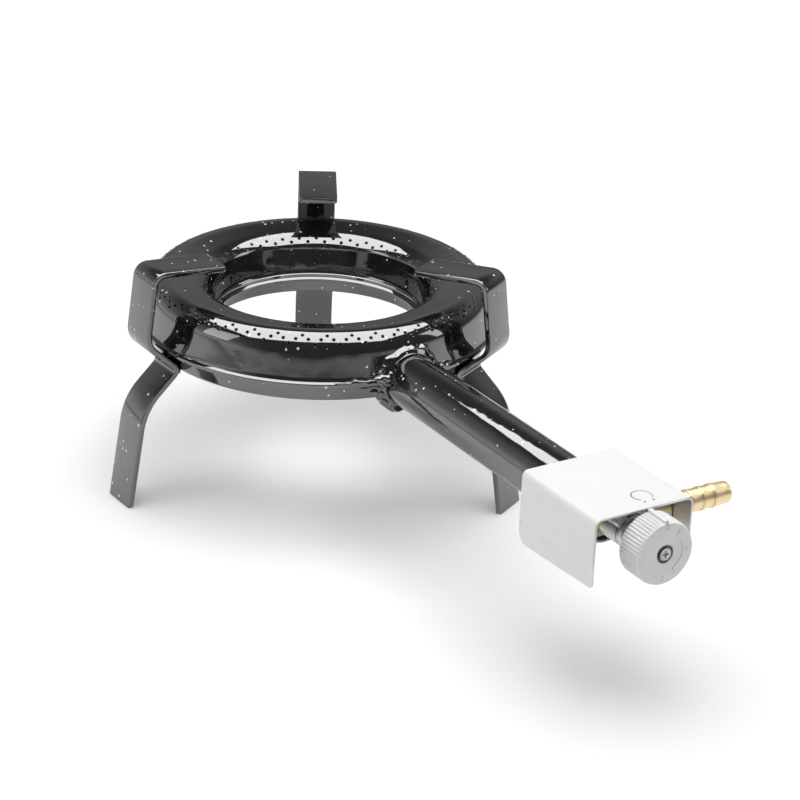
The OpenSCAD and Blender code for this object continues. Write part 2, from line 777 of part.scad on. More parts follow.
// Folded sheet guard over the tap, resting on the tube
module guard() {
    side_line = [
        [-guard_front, guard_top + eps], [-guard_front, guard_top - flap_front_h],
        [-guard_back, guard_top - flap_back_h], [-guard_back, guard_top + eps]
    ];
    side_bends = [0, flap_front_round, flap_back_round, 0];
    color(zinc) difference() {
        intersection() {
            on_tube(guard_back) linear_extrude(guard_l)
                strip(guard_points, [0, guard_fold, guard_fold, 0], 0, guard_t);
            translate([-guard_w, 0, tube_z]) rotate([90, 0, 90]) linear_extrude(2 * guard_w)
                polygon(bent_line(side_line, side_bends, 0));
        }
        on_nozzle() cylinder(d = barb_d + 2 * pass_gap, h = guard_w);
    }
}

// Label wrapped over the guard's top and upper left flap
module guard_label() {
    line = [[-guard_half, label_low], [-guard_half, guard_top], [guard_half - guard_fold, guard_top]];
    color("white") on_tube(guard_back) linear_extrude(guard_l)
        strip(line, [0, guard_fold, 0], -label_t, 0);
}

burner_ring();
burner_tray();
leg_right();
leg_back();
leg_left();
leg_welds();
mixing_tube();
tube_weld();
air_disc();
injector();
tap_body();
tap_plug();
return_spring();
spindle();
cover_gasket();
cover_plate();
cover_screws();
nozzle_washer();
hose_nozzle();
knob();
knob_screw();
guard();
guard_label();
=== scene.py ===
import math
import bpy
import bmesh
from mathutils import Matrix, Vector, noise


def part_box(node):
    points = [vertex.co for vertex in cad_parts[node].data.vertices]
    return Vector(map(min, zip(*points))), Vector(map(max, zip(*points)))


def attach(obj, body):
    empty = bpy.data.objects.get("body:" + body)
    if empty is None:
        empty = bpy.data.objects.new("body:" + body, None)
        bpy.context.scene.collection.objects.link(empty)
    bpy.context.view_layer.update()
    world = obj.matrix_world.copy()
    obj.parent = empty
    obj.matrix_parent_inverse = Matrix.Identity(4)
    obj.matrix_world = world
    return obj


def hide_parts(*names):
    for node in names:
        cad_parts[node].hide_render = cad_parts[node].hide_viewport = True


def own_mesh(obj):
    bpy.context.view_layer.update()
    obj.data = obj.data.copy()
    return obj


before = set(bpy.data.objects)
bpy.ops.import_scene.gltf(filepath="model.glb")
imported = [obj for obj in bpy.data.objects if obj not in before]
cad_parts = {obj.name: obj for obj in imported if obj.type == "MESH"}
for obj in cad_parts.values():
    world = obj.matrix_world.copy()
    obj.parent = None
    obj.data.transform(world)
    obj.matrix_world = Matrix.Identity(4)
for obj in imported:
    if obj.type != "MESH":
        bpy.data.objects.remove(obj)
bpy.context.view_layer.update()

mm = 0.001
fullTurn = 2 * math.pi
pressedSheet = 1.2  # ring and tray, in millimetres


# Corners of a CAD node in millimetres
def nodeBox(node):
    low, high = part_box(node)
    return low / mm, high / mm


ringLow, ringHigh = nodeBox("burner_ring")
tubeLow, tubeHigh = nodeBox("mixing_tube")
nozzleLow, nozzleHigh = nodeBox("hose_nozzle")
springLow, springHigh = nodeBox("return_spring")
knobLow, knobHigh = nodeBox("knob")
labelLow, labelHigh = nodeBox("guard_label")
guardHigh = nodeBox("guard")[1]
trayZ = nodeBox("burner_tray")[0].z
plateFront = -nodeBox("cover_plate")[0].y
tubeZ = (tubeLow.z + tubeHigh.z) / 2
tubeRadius = (tubeHigh.x - tubeLow.x) / 2
lipZ = ringLow.z + pressedSheet
lipRadius = ringHigh.x
ringTop = ringHigh.z
nozzleY = (nozzleLow.y + nozzleHigh.y) / 2
print("frame read")


# Points of a line with rounded corners, shifted to its right by off
def bentLine(points, radii, off, steps):
    def side(a, b):
        u = (b - a).normalized()
        return Vector((u.y, -u.x))
    path = [points[0] + side(points[0], points[1]) * off]
    for i in range(1, len(points) - 1):
        a, b, c = points[i - 1:i + 2]
        u, w = (b - a).normalized(), (c - b).normalized()
        turn = math.atan2(u.x * w.y - u.y * w.x, u.dot(w))
        hand = 1 if turn > 0 else -1
        normal = side(a, b)
        start = b - u * radii[i] * math.tan(abs(turn) / 2)
        centre = start - normal * hand * radii[i]
        first = math.atan2(hand * normal.y, hand * normal.x)
        for k in range(steps + 1):
            q = first + turn * k / steps
            path.append(centre + Vector((math.cos(q), math.sin(q))) * (radii[i] + hand * off))
    path.append(points[-1] + side(points[-2], points[-1]) * off)
    return path


# Closed loop with each corner rounded by its own radius
def roundLoop(corners, rounds, steps=4):
    points = [Vector(c) for c in corners]
    loop = []
    for i, radius in enumerate(rounds):
        if radius > 0:
            trio = [points[i - 1], points[i], points[(i + 1) % len(points)]]
            loop += bentLine(trio, [0, radius, 0], 0, steps)[1:-1]
        else:
            loop.append(points[i])
    return loop


# Closed section turned round the Z axis
def lathe(section, steps):
    loops = []
    for j in range(steps):
        q = fullTurn * j / steps
        loops.append([(r * math.cos(q), r * math.sin(q), z) for r, z in section])
    return skin(loops, True)


# Loops of equal length joined one after the other
def skin(loops, closed=False, caps=True):
    verts = [v for loop in loops for v in loop]
    count, total = len(loops[0]), len(loops)
    faces = []
    for k in range(total if closed else total - 1):
        a, b = k * count, (k + 1) % total * count
        for i in range(count):
            n = (i + 1) % count
            faces.append((a + i, a + n, b + n, b + i))
    if caps and not closed:
        faces.append(tuple(range(count)))
        faces.append(tuple(range((total - 1) * count, total * count)))
    return verts, faces


# From a piece drawn along Z to the mixing tube's axis
def ontoTube(shape):
    return [(x, -z, tubeZ + y) for x, y, z in shape[0]], shape[1]


# From a piece drawn along Z to the hose nozzle's axis
def ontoNozzle(shape):
    return [(z, nozzleY + x, tubeZ + y) for x, y, z in shape[0]], shape[1]


def turned(shape, degrees):
    q = math.radians(degrees)
    c, s = math.cos(q), math.sin(q)
    return [(x * c - y * s, x * s + y * c, z) for x, y, z in shape[0]], shape[1]


def joined(*parts):
    verts, faces = [], []
    for partVerts, partFaces in parts:
        base = len(verts)
        verts += list(partVerts)
        faces += [tuple(base + i for i in f) for f in partFaces]
    return verts, faces


# Makes the piece, lets it ride on its body and hides the CAD nodes it stands for
def makePiece(name, shape, material, body, replaced=(), sharp=40, closed=True):
    mesh = bpy.data.meshes.new(name)
    mesh.from_pydata([Vector(v) * mm for v in shape[0]], [], shape[1])
    work = bmesh.new()
    work.from_mesh(mesh)
    if closed:
        bmesh.ops.recalc_face_normals(work, faces=work.faces)
    work.to_mesh(mesh)
    work.free()
    mesh.materials.append(material)
    mesh.shade_smooth()
    mesh.set_sharp_from_angle(angle=math.radians(sharp))
    piece = bpy.data.objects.new(name, mesh)
    bpy.context.scene.collection.objects.link(piece)
    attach(piece, body)
    if replaced:
        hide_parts(*replaced)
    return piece


# Shader groups shared by the materials
def newGroup(name, inputs, output):
    group = bpy.data.node_groups.new(name, "ShaderNodeTree")
    for label, value in inputs.items():
        kind = "NodeSocketVector" if isinstance(value, tuple) else "NodeSocketFloat"
        socket = group.interface.new_socket(label, in_out="INPUT", socket_type=kind)
        socket.default_value = value
    group.interface.new_socket(output, in_out="OUTPUT", socket_type="NodeSocketFloat")
    return group, group.nodes.new("NodeGroupInput"), group.nodes.new("NodeGroupOutput")


# A number is set on the socket, an output is linked to it
def feed(tree, socket, value):
    if isinstance(value, (int, float, tuple)):
        socket.default_value = value
    else:
        tree.links.new(value, socket)


def addMath(tree, operation, a, b, clamp=False):
    node = tree.nodes.new("ShaderNodeMath")
    node.operation = operation
    node.use_clamp = clamp
    for socket, value in zip(node.inputs, (a, b)):
        feed(tree, socket, value)
    return node.outputs[0]


def addNoise(tree, vector, scale, detail=2.0, rough=0.5):
    node = tree.nodes.new("ShaderNodeTexNoise")
    for label, value in (("Vector", vector), ("Scale", scale), ("Detail", detail), ("Roughness", rough)):
        feed(tree, node.inputs[label], value)
    return node.outputs[0]


# Value that runs between two limits as another value does
def addRange(tree, value, span, limits, smooth=True):
    node = tree.nodes.new("ShaderNodeMapRange")
    node.interpolation_type = "SMOOTHSTEP" if smooth else "LINEAR"
    labels = ("Value", "From Min", "From Max", "To Min", "To Max")
    for label, number in zip(labels, (value, *span, *limits)):
        feed(tree, node.inputs[label], number)
    return node.outputs[0]


def addMix(tree, factor, first, second):
    node = tree.nodes.new("ShaderNodeMix")
    node.data_type = "RGBA"
    tree.links.new(factor, node.inputs["Factor"])
    colourInputs = [s for s in node.inputs if s.type == "RGBA"]
    for socket, value in zip(colourInputs, (first, second)):
        feed(tree, socket, value)
    return [s for s in node.outputs if s.type == "RGBA"][0]


def objectCoords(tree):
    return tree.nodes.new("ShaderNodeTexCoord").outputs["Object"]


# Small round specks, thinned out by chance and crowded in places
speckLook = {"crowd scale": 22.0, "crowd gain": 3.2, "crowd floor": 0.7, "least size": 0.35, "edge": 90.0}


def speckGroup(look):
    group, source, result = newGroup("specks", {"Density": 90.0, "Size": 0.05, "Share": 0.3}, "Mask")
    cells = group.nodes.new("ShaderNodeTexVoronoi")
    group.links.new(objectCoords(group), cells.inputs["Vector"])
    group.links.new(source.outputs["Density"], cells.inputs["Scale"])
    chance = group.nodes.new("ShaderNodeSeparateColor")
    group.links.new(cells.outputs["Color"], chance.inputs[0])
    cloud = addNoise(group, objectCoords(group), look["crowd scale"])
    crowd = addMath(group, "MULTIPLY", cloud, look["crowd gain"])
    crowd = addMath(group, "SUBTRACT", crowd, look["crowd floor"], True)
    share = addMath(group, "MULTIPLY", source.outputs["Share"], crowd)
    keep = addMath(group, "LESS_THAN", chance.outputs[0], share)
    size = addMath(group, "ADD", chance.outputs[1], look["least size"])
    size = addMath(group, "MULTIPLY", source.outputs["Size"], size)
    near = addMath(group, "SUBTRACT", size, cells.outputs["Distance"])
    edge = addMath(group, "MULTIPLY", near, look["edge"], True)
    group.links.new(addMath(group, "MULTIPLY", edge, keep), result.inputs["Mask"])
    return group


# Long waves and a fine grain, as one height
waveLook = {"wide detail": 1.0, "grain detail": 2.0}


def waveGroup(look):
    group, source, result = newGroup("waves", {"Scale": 55.0, "Grain": 900.0, "Grain Share": 0.08}, "Height")
    coords = objectCoords(group)
    wide = addNoise(group, coords, source.outputs["Scale"], look["wide detail"])
    fine = addNoise(group, coords, source.outputs["Grain"], look["grain detail"])
    grain = addMath(group, "MULTIPLY", fine, source.outputs["Grain Share"])
    group.links.new(addMath(group, "ADD", wide, grain), result.inputs["Height"])
    return group


# Smears of handling, as a value between two limits
smearLook = {"detail": 4.0, "rough": 0.6, "span": (0.32, 0.7)}


def smearGroup(look):
    group, source, result = newGroup("smears", {"Scale": 40.0, "Low": 0.1, "High": 0.3}, "Value")
    cloud = addNoise(group, objectCoords(group), source.outputs["Scale"], look["detail"], look["rough"])
    limits = source.outputs["Low"], source.outputs["High"]
    group.links.new(addRange(group, cloud, look["span"], limits, False), result.inputs["Value"])
    return group


# Fine parallel lines left by rolling or turning
lineLook = {"detail": 3.0, "rough": 0.6}


def lineGroup(look):
    group, source, result = newGroup("lines", {"Stretch": (400.0, 40.0, 400.0)}, "Height")
    scaled = group.nodes.new("ShaderNodeVectorMath")
    scaled.operation = "MULTIPLY"
    group.links.new(objectCoords(group), scaled.inputs[0])
    group.links.new(source.outputs["Stretch"], scaled.inputs[1])
    height = addNoise(group, scaled.outputs[0], 1.0, look["detail"], look["rough"])
    group.links.new(height, result.inputs["Height"])
    return group


specks, waves = speckGroup(speckLook), waveGroup(waveLook)
smears, lines = smearGroup(smearLook), lineGroup(lineLook)


def startMaterial(name):
    material = bpy.data.materials.new(name)
    material.use_nodes = True
    tree = material.node_tree
    return material, tree, tree.nodes["Principled BSDF"]


def useGroup(tree, group, **values):
    node = tree.nodes.new("ShaderNodeGroup")
    node.node_tree = group
    for label, value in values.items():
        node.inputs[label.replace("_", " ")].default_value = value
    return node.outputs[0]


# Two tones of colour in clouds
def addTones(tree, look):
    tone = useGroup(tree, smears, Scale=look["tone scale"], Low=0.0, High=1.0)
    return addMix(tree, tone, look["colour"], look["second"])


def addGloss(tree, shader, look):
    low, high = look["gloss"]
    gloss = useGroup(tree, smears, Scale=look["gloss scale"], Low=low, High=high)
    tree.links.new(gloss, shader.inputs["Roughness"])


def addBump(tree, shader, height, look):
    bump = tree.nodes.new("ShaderNodeBump")
    bump.inputs["Strength"].default_value = look["bump"]
    bump.inputs["Distance"].default_value = look["depth"]
    tree.links.new(height, bump.inputs["Height"])
    tree.links.new(bump.outputs[0], shader.inputs["Normal"])


def addWaves(tree, shader, look):
    height = useGroup(tree, waves, Scale=look["wave scale"], Grain=look["grain"],
                      Grain_Share=look["grain share"])
    addBump(tree, shader, height, look)


enamelLook = {
    "colour": (0.006, 0.0065, 0.008, 1), "second": (0.012, 0.0125, 0.014, 1), "tone scale": 30.0,
    "speck colour": (0.8, 0.8, 0.79, 1), "speck density": 250.0, "speck share": 0.62, "speck size": 0.14,
    "gloss": (0.03, 0.07), "gloss scale": 60.0, "index": 1.85, "specular": 1.0,
    "wave scale": 70.0, "grain": 700.0, "grain share": 0.05, "bump": 0.35, "depth": 0.0005,
}


def enamelMaterial(look):
    material, tree, shader = startMaterial("blackEnamel")
    mask = useGroup(tree, specks, Density=look["speck density"], Size=look["speck size"],
                    Share=look["speck share"])
    colour = addMix(tree, mask, addTones(tree, look), look["speck colour"])
    tree.links.new(colour, shader.inputs["Base Color"])
    addGloss(tree, shader, look)
    addWaves(tree, shader, look)
    shader.inputs["IOR"].default_value = look["index"]
    shader.inputs["Specular IOR Level"].default_value = look["specular"]
    return material


metalTexture = {"tone scale": 140.0, "gloss scale": 70.0, "bump": 0.3}
metalLooks = {
    "galvanised": {"colour": (0.70, 0.705, 0.71, 1), "second": (0.73, 0.735, 0.74, 1), "gloss": (0.5, 0.56),
                   "stretch": (500.0, 30.0, 500.0), "depth": 0.00002},
    "brightBrass": {"colour": (0.88, 0.71, 0.42, 1), "second": (0.91, 0.77, 0.50, 1), "gloss": (0.36, 0.46),
                    "stretch": (900.0, 60.0, 60.0), "depth": 0.00002},
    "platedSteel": {"colour": (0.62, 0.63, 0.63, 1), "second": (0.72, 0.73, 0.72, 1), "gloss": (0.24, 0.38),
                    "stretch": (300.0, 300.0, 300.0), "depth": 0.00003},
    "screwSteel": {"colour": (0.40, 0.405, 0.41, 1), "second": (0.50, 0.505, 0.51, 1), "gloss": (0.3, 0.42),
                   "stretch": (300.0, 300.0, 300.0), "depth": 0.00003},
}


def metalMaterial(name):
    look = {**metalTexture, **metalLooks[name]}
    material, tree, shader = startMaterial(name)
    tree.links.new(addTones(tree, look), shader.inputs["Base Color"])
    shader.inputs["Metallic"].default_value = 1.0
    addGloss(tree, shader, look)
    addBump(tree, shader, useGroup(tree, lines, Stretch=look["stretch"]), look)
    return material


# The tap is brass at its back and plated at its front, in metres along its axis
tapLook = {"plated from": 0.2575, "soft": 0.0004}


def tapMaterial(look):
    material = metalMaterial("brightBrass")
    material.name = "tapMetal"
    tree = material.node_tree
    shader = tree.nodes["Principled BSDF"]
    brassColour = shader.inputs["Base Color"].links[0].from_socket
    place = tree.nodes.new("ShaderNodeSeparateXYZ")
    tree.links.new(objectCoords(tree), place.inputs[0])
    forward = addMath(tree, "MULTIPLY", place.outputs["Y"], -1.0)
    beyond = addMath(tree, "SUBTRACT", forward, look["plated from"])
    mask = addMath(tree, "DIVIDE", beyond, look["soft"], True)
    colour = addMix(tree, mask, brassColour, metalLooks["platedSteel"]["colour"])
    tree.links.new(colour, shader.inputs["Base Color"])
    return material


plainTexture = {"tone scale": 90.0, "gloss scale": 50.0, "wave scale": 120.0, "grain share": 0.6,
                "bump": 0.25}
plainLooks = {
    "knobPlastic": {"colour": (0.77, 0.775, 0.78, 1), "second": (0.81, 0.815, 0.82, 1), "gloss": (0.3, 0.4),
                    "grain": 1600.0, "depth": 0.00005},
    "labelFilm": {"colour": (0.85, 0.85, 0.845, 1), "second": (0.87, 0.87, 0.865, 1), "gloss": (0.3, 0.34),
                  "grain": 500.0, "depth": 0.00001},
    "fibre": {"colour": (0.09, 0.085, 0.08, 1), "second": (0.15, 0.14, 0.13, 1), "gloss": (0.7, 0.9),
              "grain": 2200.0, "depth": 0.00015},
    "darkInk": {"colour": (0.03, 0.03, 0.032, 1), "second": (0.05, 0.05, 0.052, 1), "gloss": (0.35, 0.5),
                "grain": 1500.0, "depth": 0.00002},
    # A darker grey painted into the sunk ring round the knob screw as its shade
    "recessPaintedShade": {"colour": (0.22, 0.22, 0.225, 1), "second": (0.3, 0.3, 0.305, 1), "gloss": (0.3, 0.45),
                   "grain": 1500.0, "depth": 0.00004},
}


def plainMaterial(name):
    look = {**plainTexture, **plainLooks[name]}
    material, tree, shader = startMaterial(name)
    tree.links.new(addTones(tree, look), shader.inputs["Base Color"])
    addGloss(tree, shader, look)
    addWaves(tree, shader, look)
    return material


enamel = enamelMaterial(enamelLook)
galvanised, brass, plated, screwSteel = (metalMaterial(n) for n in metalLooks)
tapMetal = tapMaterial(tapLook)
plastic, film, fibre, ink, recessPaintedShade = (plainMaterial(n) for n in plainLooks)
print("materials made")

# Pressed ring with its two zigzag bands of open flame ports, angles in degrees
ringLook = {
    "outer centre": 75.5, "outer shoulder": 11.0, "top slope": 11.0, "wall lean": 12.0, "inner start": 64.2,
    "bevel radius": 14.5, "bevel end": 47.5, "corner radius": 3.5, "hole lean": (11.0, 9.5),
    "seam": 0.3, "rows above": 6, "rows below": 7, "wall rows": 5, "hole rows": 11,
    "wall foot": ((-0.2, 1.0), (0.0, 0.4), (0.4, -0.05)), "lip end": (-0.4, -0.1),
    "hole foot": ((-0.08, 0.75), (-0.25, 0.35), (-0.5, 0.1), (-0.75, 0.0), (-0.9, -0.15)),
    "port rims": ((0.97, 0.0), (0.93, 0.0), (0.88, 0.04), (0.82, -0.02), (0.9, -0.35)),  # radius and lift
    "outer ports": {"columns": 172, "across": 4, "down": 4, "first": 27.0, "step": 11.5,
                    "pattern": (0, 1, 2, 1)},
    "inner ports": {"columns": 82, "across": 6, "down": 4, "first": 35.5, "step": 8.0, "pattern": (0, 1)},
}


# Place on a shoulder: one round, or a wide bevel that ends in a tighter corner
def shoulderPoint(arcs, hand, tilt, lift=0.0):
    centre, radius = arcs[0][:2]
    if tilt > arcs[0][2]:
        centre, radius = arcs[1][:2]
    t = math.radians(tilt)
    return centre[0] + hand * (radius + lift) * math.sin(t), centre[1] + (radius + lift) * math.cos(t)


# Tilts of the rows from the top over the band of ports to the wall
def shoulderTilts(hand, band, last):
    above, below = ringLook["rows above"], ringLook["rows below"]
    rows = max(band["pattern"]) + 1
    first = -hand * ringLook["top slope"]
    bandTop = band["first"] - band["step"] / 2
    bandLow = bandTop + rows * band["step"]
    tilts = [first + (bandTop - first) * k / above for k in range(above + 1)]
    tilts += [bandTop + band["step"] * k / band["down"] for k in range(1, rows * band["down"] + 1)]
    return tilts + [bandLow + (last - bandLow) * k / below for k in range(1, below + 1)]


# Grid places round a port's cell, from the middle of one side
def cellEdge(i, j, across, down):
    edge = [(i + k, j + across) for k in range(down // 2, down)]
    edge += [(i + down, j + across - k) for k in range(across)]
    edge += [(i + down - k, j) for k in range(down)]
    edge += [(i, j + k) for k in range(across)]
    return edge + [(i + k, j + across) for k in range(down // 2)]


def ringHalf(arcs, hand, band, last, seam, wall):
    tilts = shoulderTilts(hand, band, last)
    profile = seam + [shoulderPoint(arcs, hand, t) for t in tilts] + wall
    bandRow = len(seam) + ringLook["rows above"]
    across, down, columns, pattern = (band[n] for n in ("across", "down", "columns", "pattern"))
    count = columns * across
    start = -math.pi / columns
    verts, faces, ids = [], [], {}

    def vertex(i, j):
        key = (i, j % count)
        if key not in ids:
            r, z = profile[i]
            q = start + fullTurn * j / count
            ids[key] = len(verts)
            verts.append((r * math.cos(q), r * math.sin(q), z))
        return ids[key]

    def addFace(face):
        faces.append(face if hand > 0 else face[::-1])

    ports = set()
    for i in range(len(profile) - 1):
        for j in range(count):
            row, column = (i - bandRow) // down, j // across
            if row == pattern[column % len(pattern)]:
                ports.add((row, column))
            else:
                addFace((vertex(i, j), vertex(i + 1, j), vertex(i + 1, j + 1), vertex(i, j + 1)))
    for row, column in sorted(ports):
        edge = cellEdge(bandRow + row * down, column * across, across, down)
        outer = [vertex(*key) for key in edge]
        tilt = band["first"] + band["step"] * row
        angle = start + fullTurn * (column + 0.5) / columns
        reach = shoulderPoint(arcs, hand, tilt)[0]
        for size, lift in ringLook["port rims"]:
            inner = list(range(len(verts), len(verts) + len(edge)))
            for k in range(len(edge)):
                q = fullTurn * k / len(edge)
                rimTilt = tilt + math.degrees(size * math.sin(q) / arcs[0][1])
                r, z = shoulderPoint(arcs, hand, rimTilt, lift)
                turn = angle + size * math.cos(q) / reach
                verts.append((r * math.cos(turn), r * math.sin(turn), z))
            for k in range(len(edge)):
                n = (k + 1) % len(edge)
                addFace((outer[n], outer[k], inner[k], inner[n]))
            outer = inner
    return (verts, faces), [vertex(0, j) for j in range(count)], start


def outerWall(look, topR, topZ):
    footR = topR + (topZ - lipZ) * math.tan(math.radians(look["wall lean"]))
    rows = look["wall rows"]
    wall = [(topR + (footR - topR) * k / rows, topZ + (lipZ - topZ) * k / rows) for k in range(1, rows)]
    wall += [(footR + out, lipZ + up) for out, up in look["wall foot"]]
    return wall + [(lipRadius + look["lip end"][0], lipZ + look["lip end"][1])]


# Wall of the hole, slightly curved, with a curled foot
def holeWall(look, topR, topZ):
    topLean, footLean = (math.tan(math.radians(n)) for n in look["hole lean"])
    fall = topZ - lipZ
    wall = []
    for k in range(1, look["hole rows"]):
        s = k / look["hole rows"]
        wall.append((topR - fall * (topLean * s + (footLean - topLean) * s * s / 2), topZ - fall * s))
    footR = topR - fall * (topLean + footLean) / 2
    return wall + [(footR + out, lipZ + up) for out, up in look["hole foot"]]


# Triangles that zip two edge loops with unlike counts together
def zipFaces(a, b, startA, startB):
    faces = []
    i = j = 0
    while i < len(a) or j < len(b):
        nextA = startA + fullTurn * (i + 1) / len(a)
        nextB = startB + fullTurn * (j + 1) / len(b)
        if j >= len(b) or (i < len(a) and nextA <= nextB):
            faces.append((a[i % len(a)], a[(i + 1) % len(a)], b[j % len(b)]))
            i += 1
        else:
            faces.append((b[(j + 1) % len(b)], b[j % len(b)], a[i % len(a)]))
            j += 1
    return faces


def ringShape(look):
    slope, turnAt = math.radians(look["top slope"]), math.radians(look["bevel end"])
    bevel, corner, innerR = look["bevel radius"], look["corner radius"], look["inner start"]
    outerArcs = [((look["outer centre"], ringTop - look["outer shoulder"]), look["outer shoulder"], 90.0)]
    highR, highZ = shoulderPoint(outerArcs, 1, -look["top slope"])

    def onTop(r):
        return r, highZ - (highR - r) * math.tan(slope)

    bevelC = (innerR + bevel * math.sin(slope), onTop(innerR)[1] - bevel * math.cos(slope))
    gap = bevel - corner
    cornerC = (bevelC[0] - gap * math.sin(turnAt), bevelC[1] + gap * math.cos(turnAt))
    innerArcs = [(bevelC, bevel, look["bevel end"]), (cornerC, corner, 90.0)]
    outerEnd, innerEnd = 90 - look["wall lean"], 90 - look["hole lean"][0]
    between = (innerR + highR) / 2
    outer, outerSeam, outerStart = ringHalf(
        outerArcs, 1, look["outer ports"], outerEnd,
        [onTop(between + look["seam"]), onTop((between + highR) / 2)],
        outerWall(look, *shoulderPoint(outerArcs, 1, outerEnd)))
    inner, innerSeam, innerStart = ringHalf(
        innerArcs, -1, look["inner ports"], innerEnd,
        [onTop(between - look["seam"]), onTop((between + innerR) / 2)],
        holeWall(look, *shoulderPoint(innerArcs, -1, innerEnd)))
    verts, faces = joined(outer, inner)
    innerSeam = [len(outer[0]) + i for i in innerSeam]
    return verts, faces + zipFaces(outerSeam, innerSeam, outerStart, innerStart)


ring = makePiece("burnerRing", ringShape(ringLook), enamel, "root", ["burner_ring"],
                 sharp=50, closed=False)
sheet = ring.modifiers.new("sheet", "SOLIDIFY")
sheet.thickness = pressedSheet * mm
sheet.offset = -1.0
print("ring made")

# Tray with its rolled rims
trayLook = {
    "foot radius": 85.2, "top radius": 87.8, "hole top": 53.4, "hole foot": 54.4, "inner rim": 50.3,
    "rim rise": 0.15, "lip depth": 2.4, "hem": 1.4, "hem slope": 0.45,
    "inner hem": (1.5, 0.9), "hem drop": 1.6, "hem fold": 1.0, "step": 0.6,
    "rounds": (0.7, 0.9, 0.7, 2.2, 2.2, 0.4, 0.5, 0.5, 0.3, 0.2, 0.2, 0.3, 1.0, 1.0, 0.3, 0.2),
    "round steps": 5, "turn steps": 288,
}


def trayShape(look):
    t, slope = pressedSheet, look["hem slope"]
    foot, top = look["foot radius"], look["top radius"]
    holeFoot, holeTop = look["hole foot"], look["hole top"]
    rim, low = lipZ + look["rim rise"], lipZ - look["lip depth"]
    hemWide, hemTall = look["inner hem"]
    hemTop = rim - look["hem drop"]
    hemLow = hemTop - hemTall - look["hem fold"]
    inside = look["inner rim"]
    crest = inside + hemWide
    stepped = crest + look["step"]
    corners = [(lipRadius, rim - slope), (lipRadius, low), (top, low), (foot, trayZ), (holeFoot, trayZ),
               (holeTop, hemLow), (inside, hemLow), (inside, hemTop - hemTall), (crest, hemTop),
               (stepped, hemTop), (stepped, rim), (holeTop + t + look["step"], rim),
               (holeFoot + t, trayZ + t), (foot - t, trayZ + t), (top - t, low + t),
               (lipRadius - look["hem"], rim + slope)]
    return lathe(roundLoop(corners, look["rounds"], look["round steps"]), look["turn steps"])


makePiece("burnerTray", trayShape(trayLook), enamel, "root", ["burner_tray"])
print("tray made")

# Legs bent from flat bar
legLook = {
    "width": 20.0, "bar": 3.0, "edge": 0.7, "edge steps": 3, "tip corner": 1.5, "bend steps": 12,
    "points": ((59.5, 117.2), (99.5, 120.56), (104.40, 82.8), (87.86, 67.8), (106.3, 51.0), (114.5, 0.0)),
    "bends": (0, 7.0, 12.0, 2.0, 32.0, 0),
    "tip": ((0.0, 0.35), (0.15, 0.1), (0.5, 0.0), (1.0, 0.0)),  # share of the corner, and how much thinner
    "legs": (("legRight", "leg_right", 298.4), ("legBack", "leg_back", 60.9), ("legLeft", "leg_left", 182.3)),
}


def legShape(look):
    points = [Vector(p) for p in look["points"]]
    outer = bentLine(points, look["bends"], 0, look["bend steps"])
    inner = bentLine(points, look["bends"], look["bar"], look["bend steps"])
    shin = (points[-1] - points[-2]).normalized()
    inner[-1] = inner[-1] - shin * inner[-1].y / shin.y
    pad = (points[1] - points[0]).normalized()
    c, e, edgeSteps = look["tip corner"], look["edge"], look["edge steps"]
    stations = []
    for s, thin in look["tip"]:
        shift, drop = pad * s * c, Vector((0, thin))
        trim = 2 * (c - math.sqrt(c * c - (c - s * c) ** 2))
        stations.append((outer[0] + shift - drop, inner[0] + shift + drop, look["width"] - trim))
    stations += [(o, i, look["width"]) for o, i in zip(outer[1:], inner[1:])]
    loops = []
    for o, i, width in stations:
        mid, half = (o + i) / 2, (o - i) / 2
        up = half.normalized()
        loop = []
        for sideways, upward, first in ((1, 1, 0), (-1, 1, 90), (-1, -1, 180), (1, -1, 270)):
            for k in range(edgeSteps + 1):
                q = math.radians(first + 90 * k / edgeSteps)
                p = mid + up * (upward * (half.length - e) + e * math.sin(q))
                loop.append((p.x, sideways * (width / 2 - e) + e * math.cos(q), p.y))
        loops.append(loop)
    return skin(loops)


legBase = legShape(legLook)
for name, node, angle in legLook["legs"]:
    makePiece(name, turned(legBase, angle), enamel, "root", [node], sharp=30)

# Beads that fill the notches between legs and tray
beadLook = {"sides": 16, "end size": 0.25, "end growth": 4.8, "lump sizes": (4.5, 1.9), "fine share": 0.5}
legWeldLook = {
    "radius": 2.3, "length": 18.0, "steps": 28, "lump": 0.35,
    "beads": ((0.2, -0.6, 1.0, 3.1), (2.2, 3.2, 0.6, 9.7)),  # out, up, size and seed
}


# Lumps of two sizes
def lumps(p, seed, look):
    wide, fine = look["lump sizes"]
    rough = noise.noise(p / wide + Vector((seed, 0, 0)))
    return rough + look["fine share"] * noise.noise(p / fine + Vector((0, seed, 0)))


# Lumpy bead of weld along a line of centres
def weldBead(centres, size, outs, lump, seed, taper=0.0):
    loops = []
    count = len(centres)
    for k, centre in enumerate(centres):
        along = (centres[min(k + 1, count - 1)] - centres[max(k - 1, 0)]).normalized()
        radius = size * (1 - taper * k / count)
        out = (outs[k] - along * outs[k].dot(along)).normalized()
        cross = along.cross(out)
        end = min(1, beadLook["end size"] + beadLook["end growth"] * min(k, count - 1 - k) / count)
        loop = []
        for s in range(beadLook["sides"]):
            q = fullTurn * s / beadLook["sides"]
            ray = out * math.cos(q) + cross * math.sin(q)
            rough = lumps(centre + ray * radius, seed, beadLook)
            loop.append(centre + ray * radius * end * (1 + lump * rough))
        loops.append(loop)
    return skin(loops)


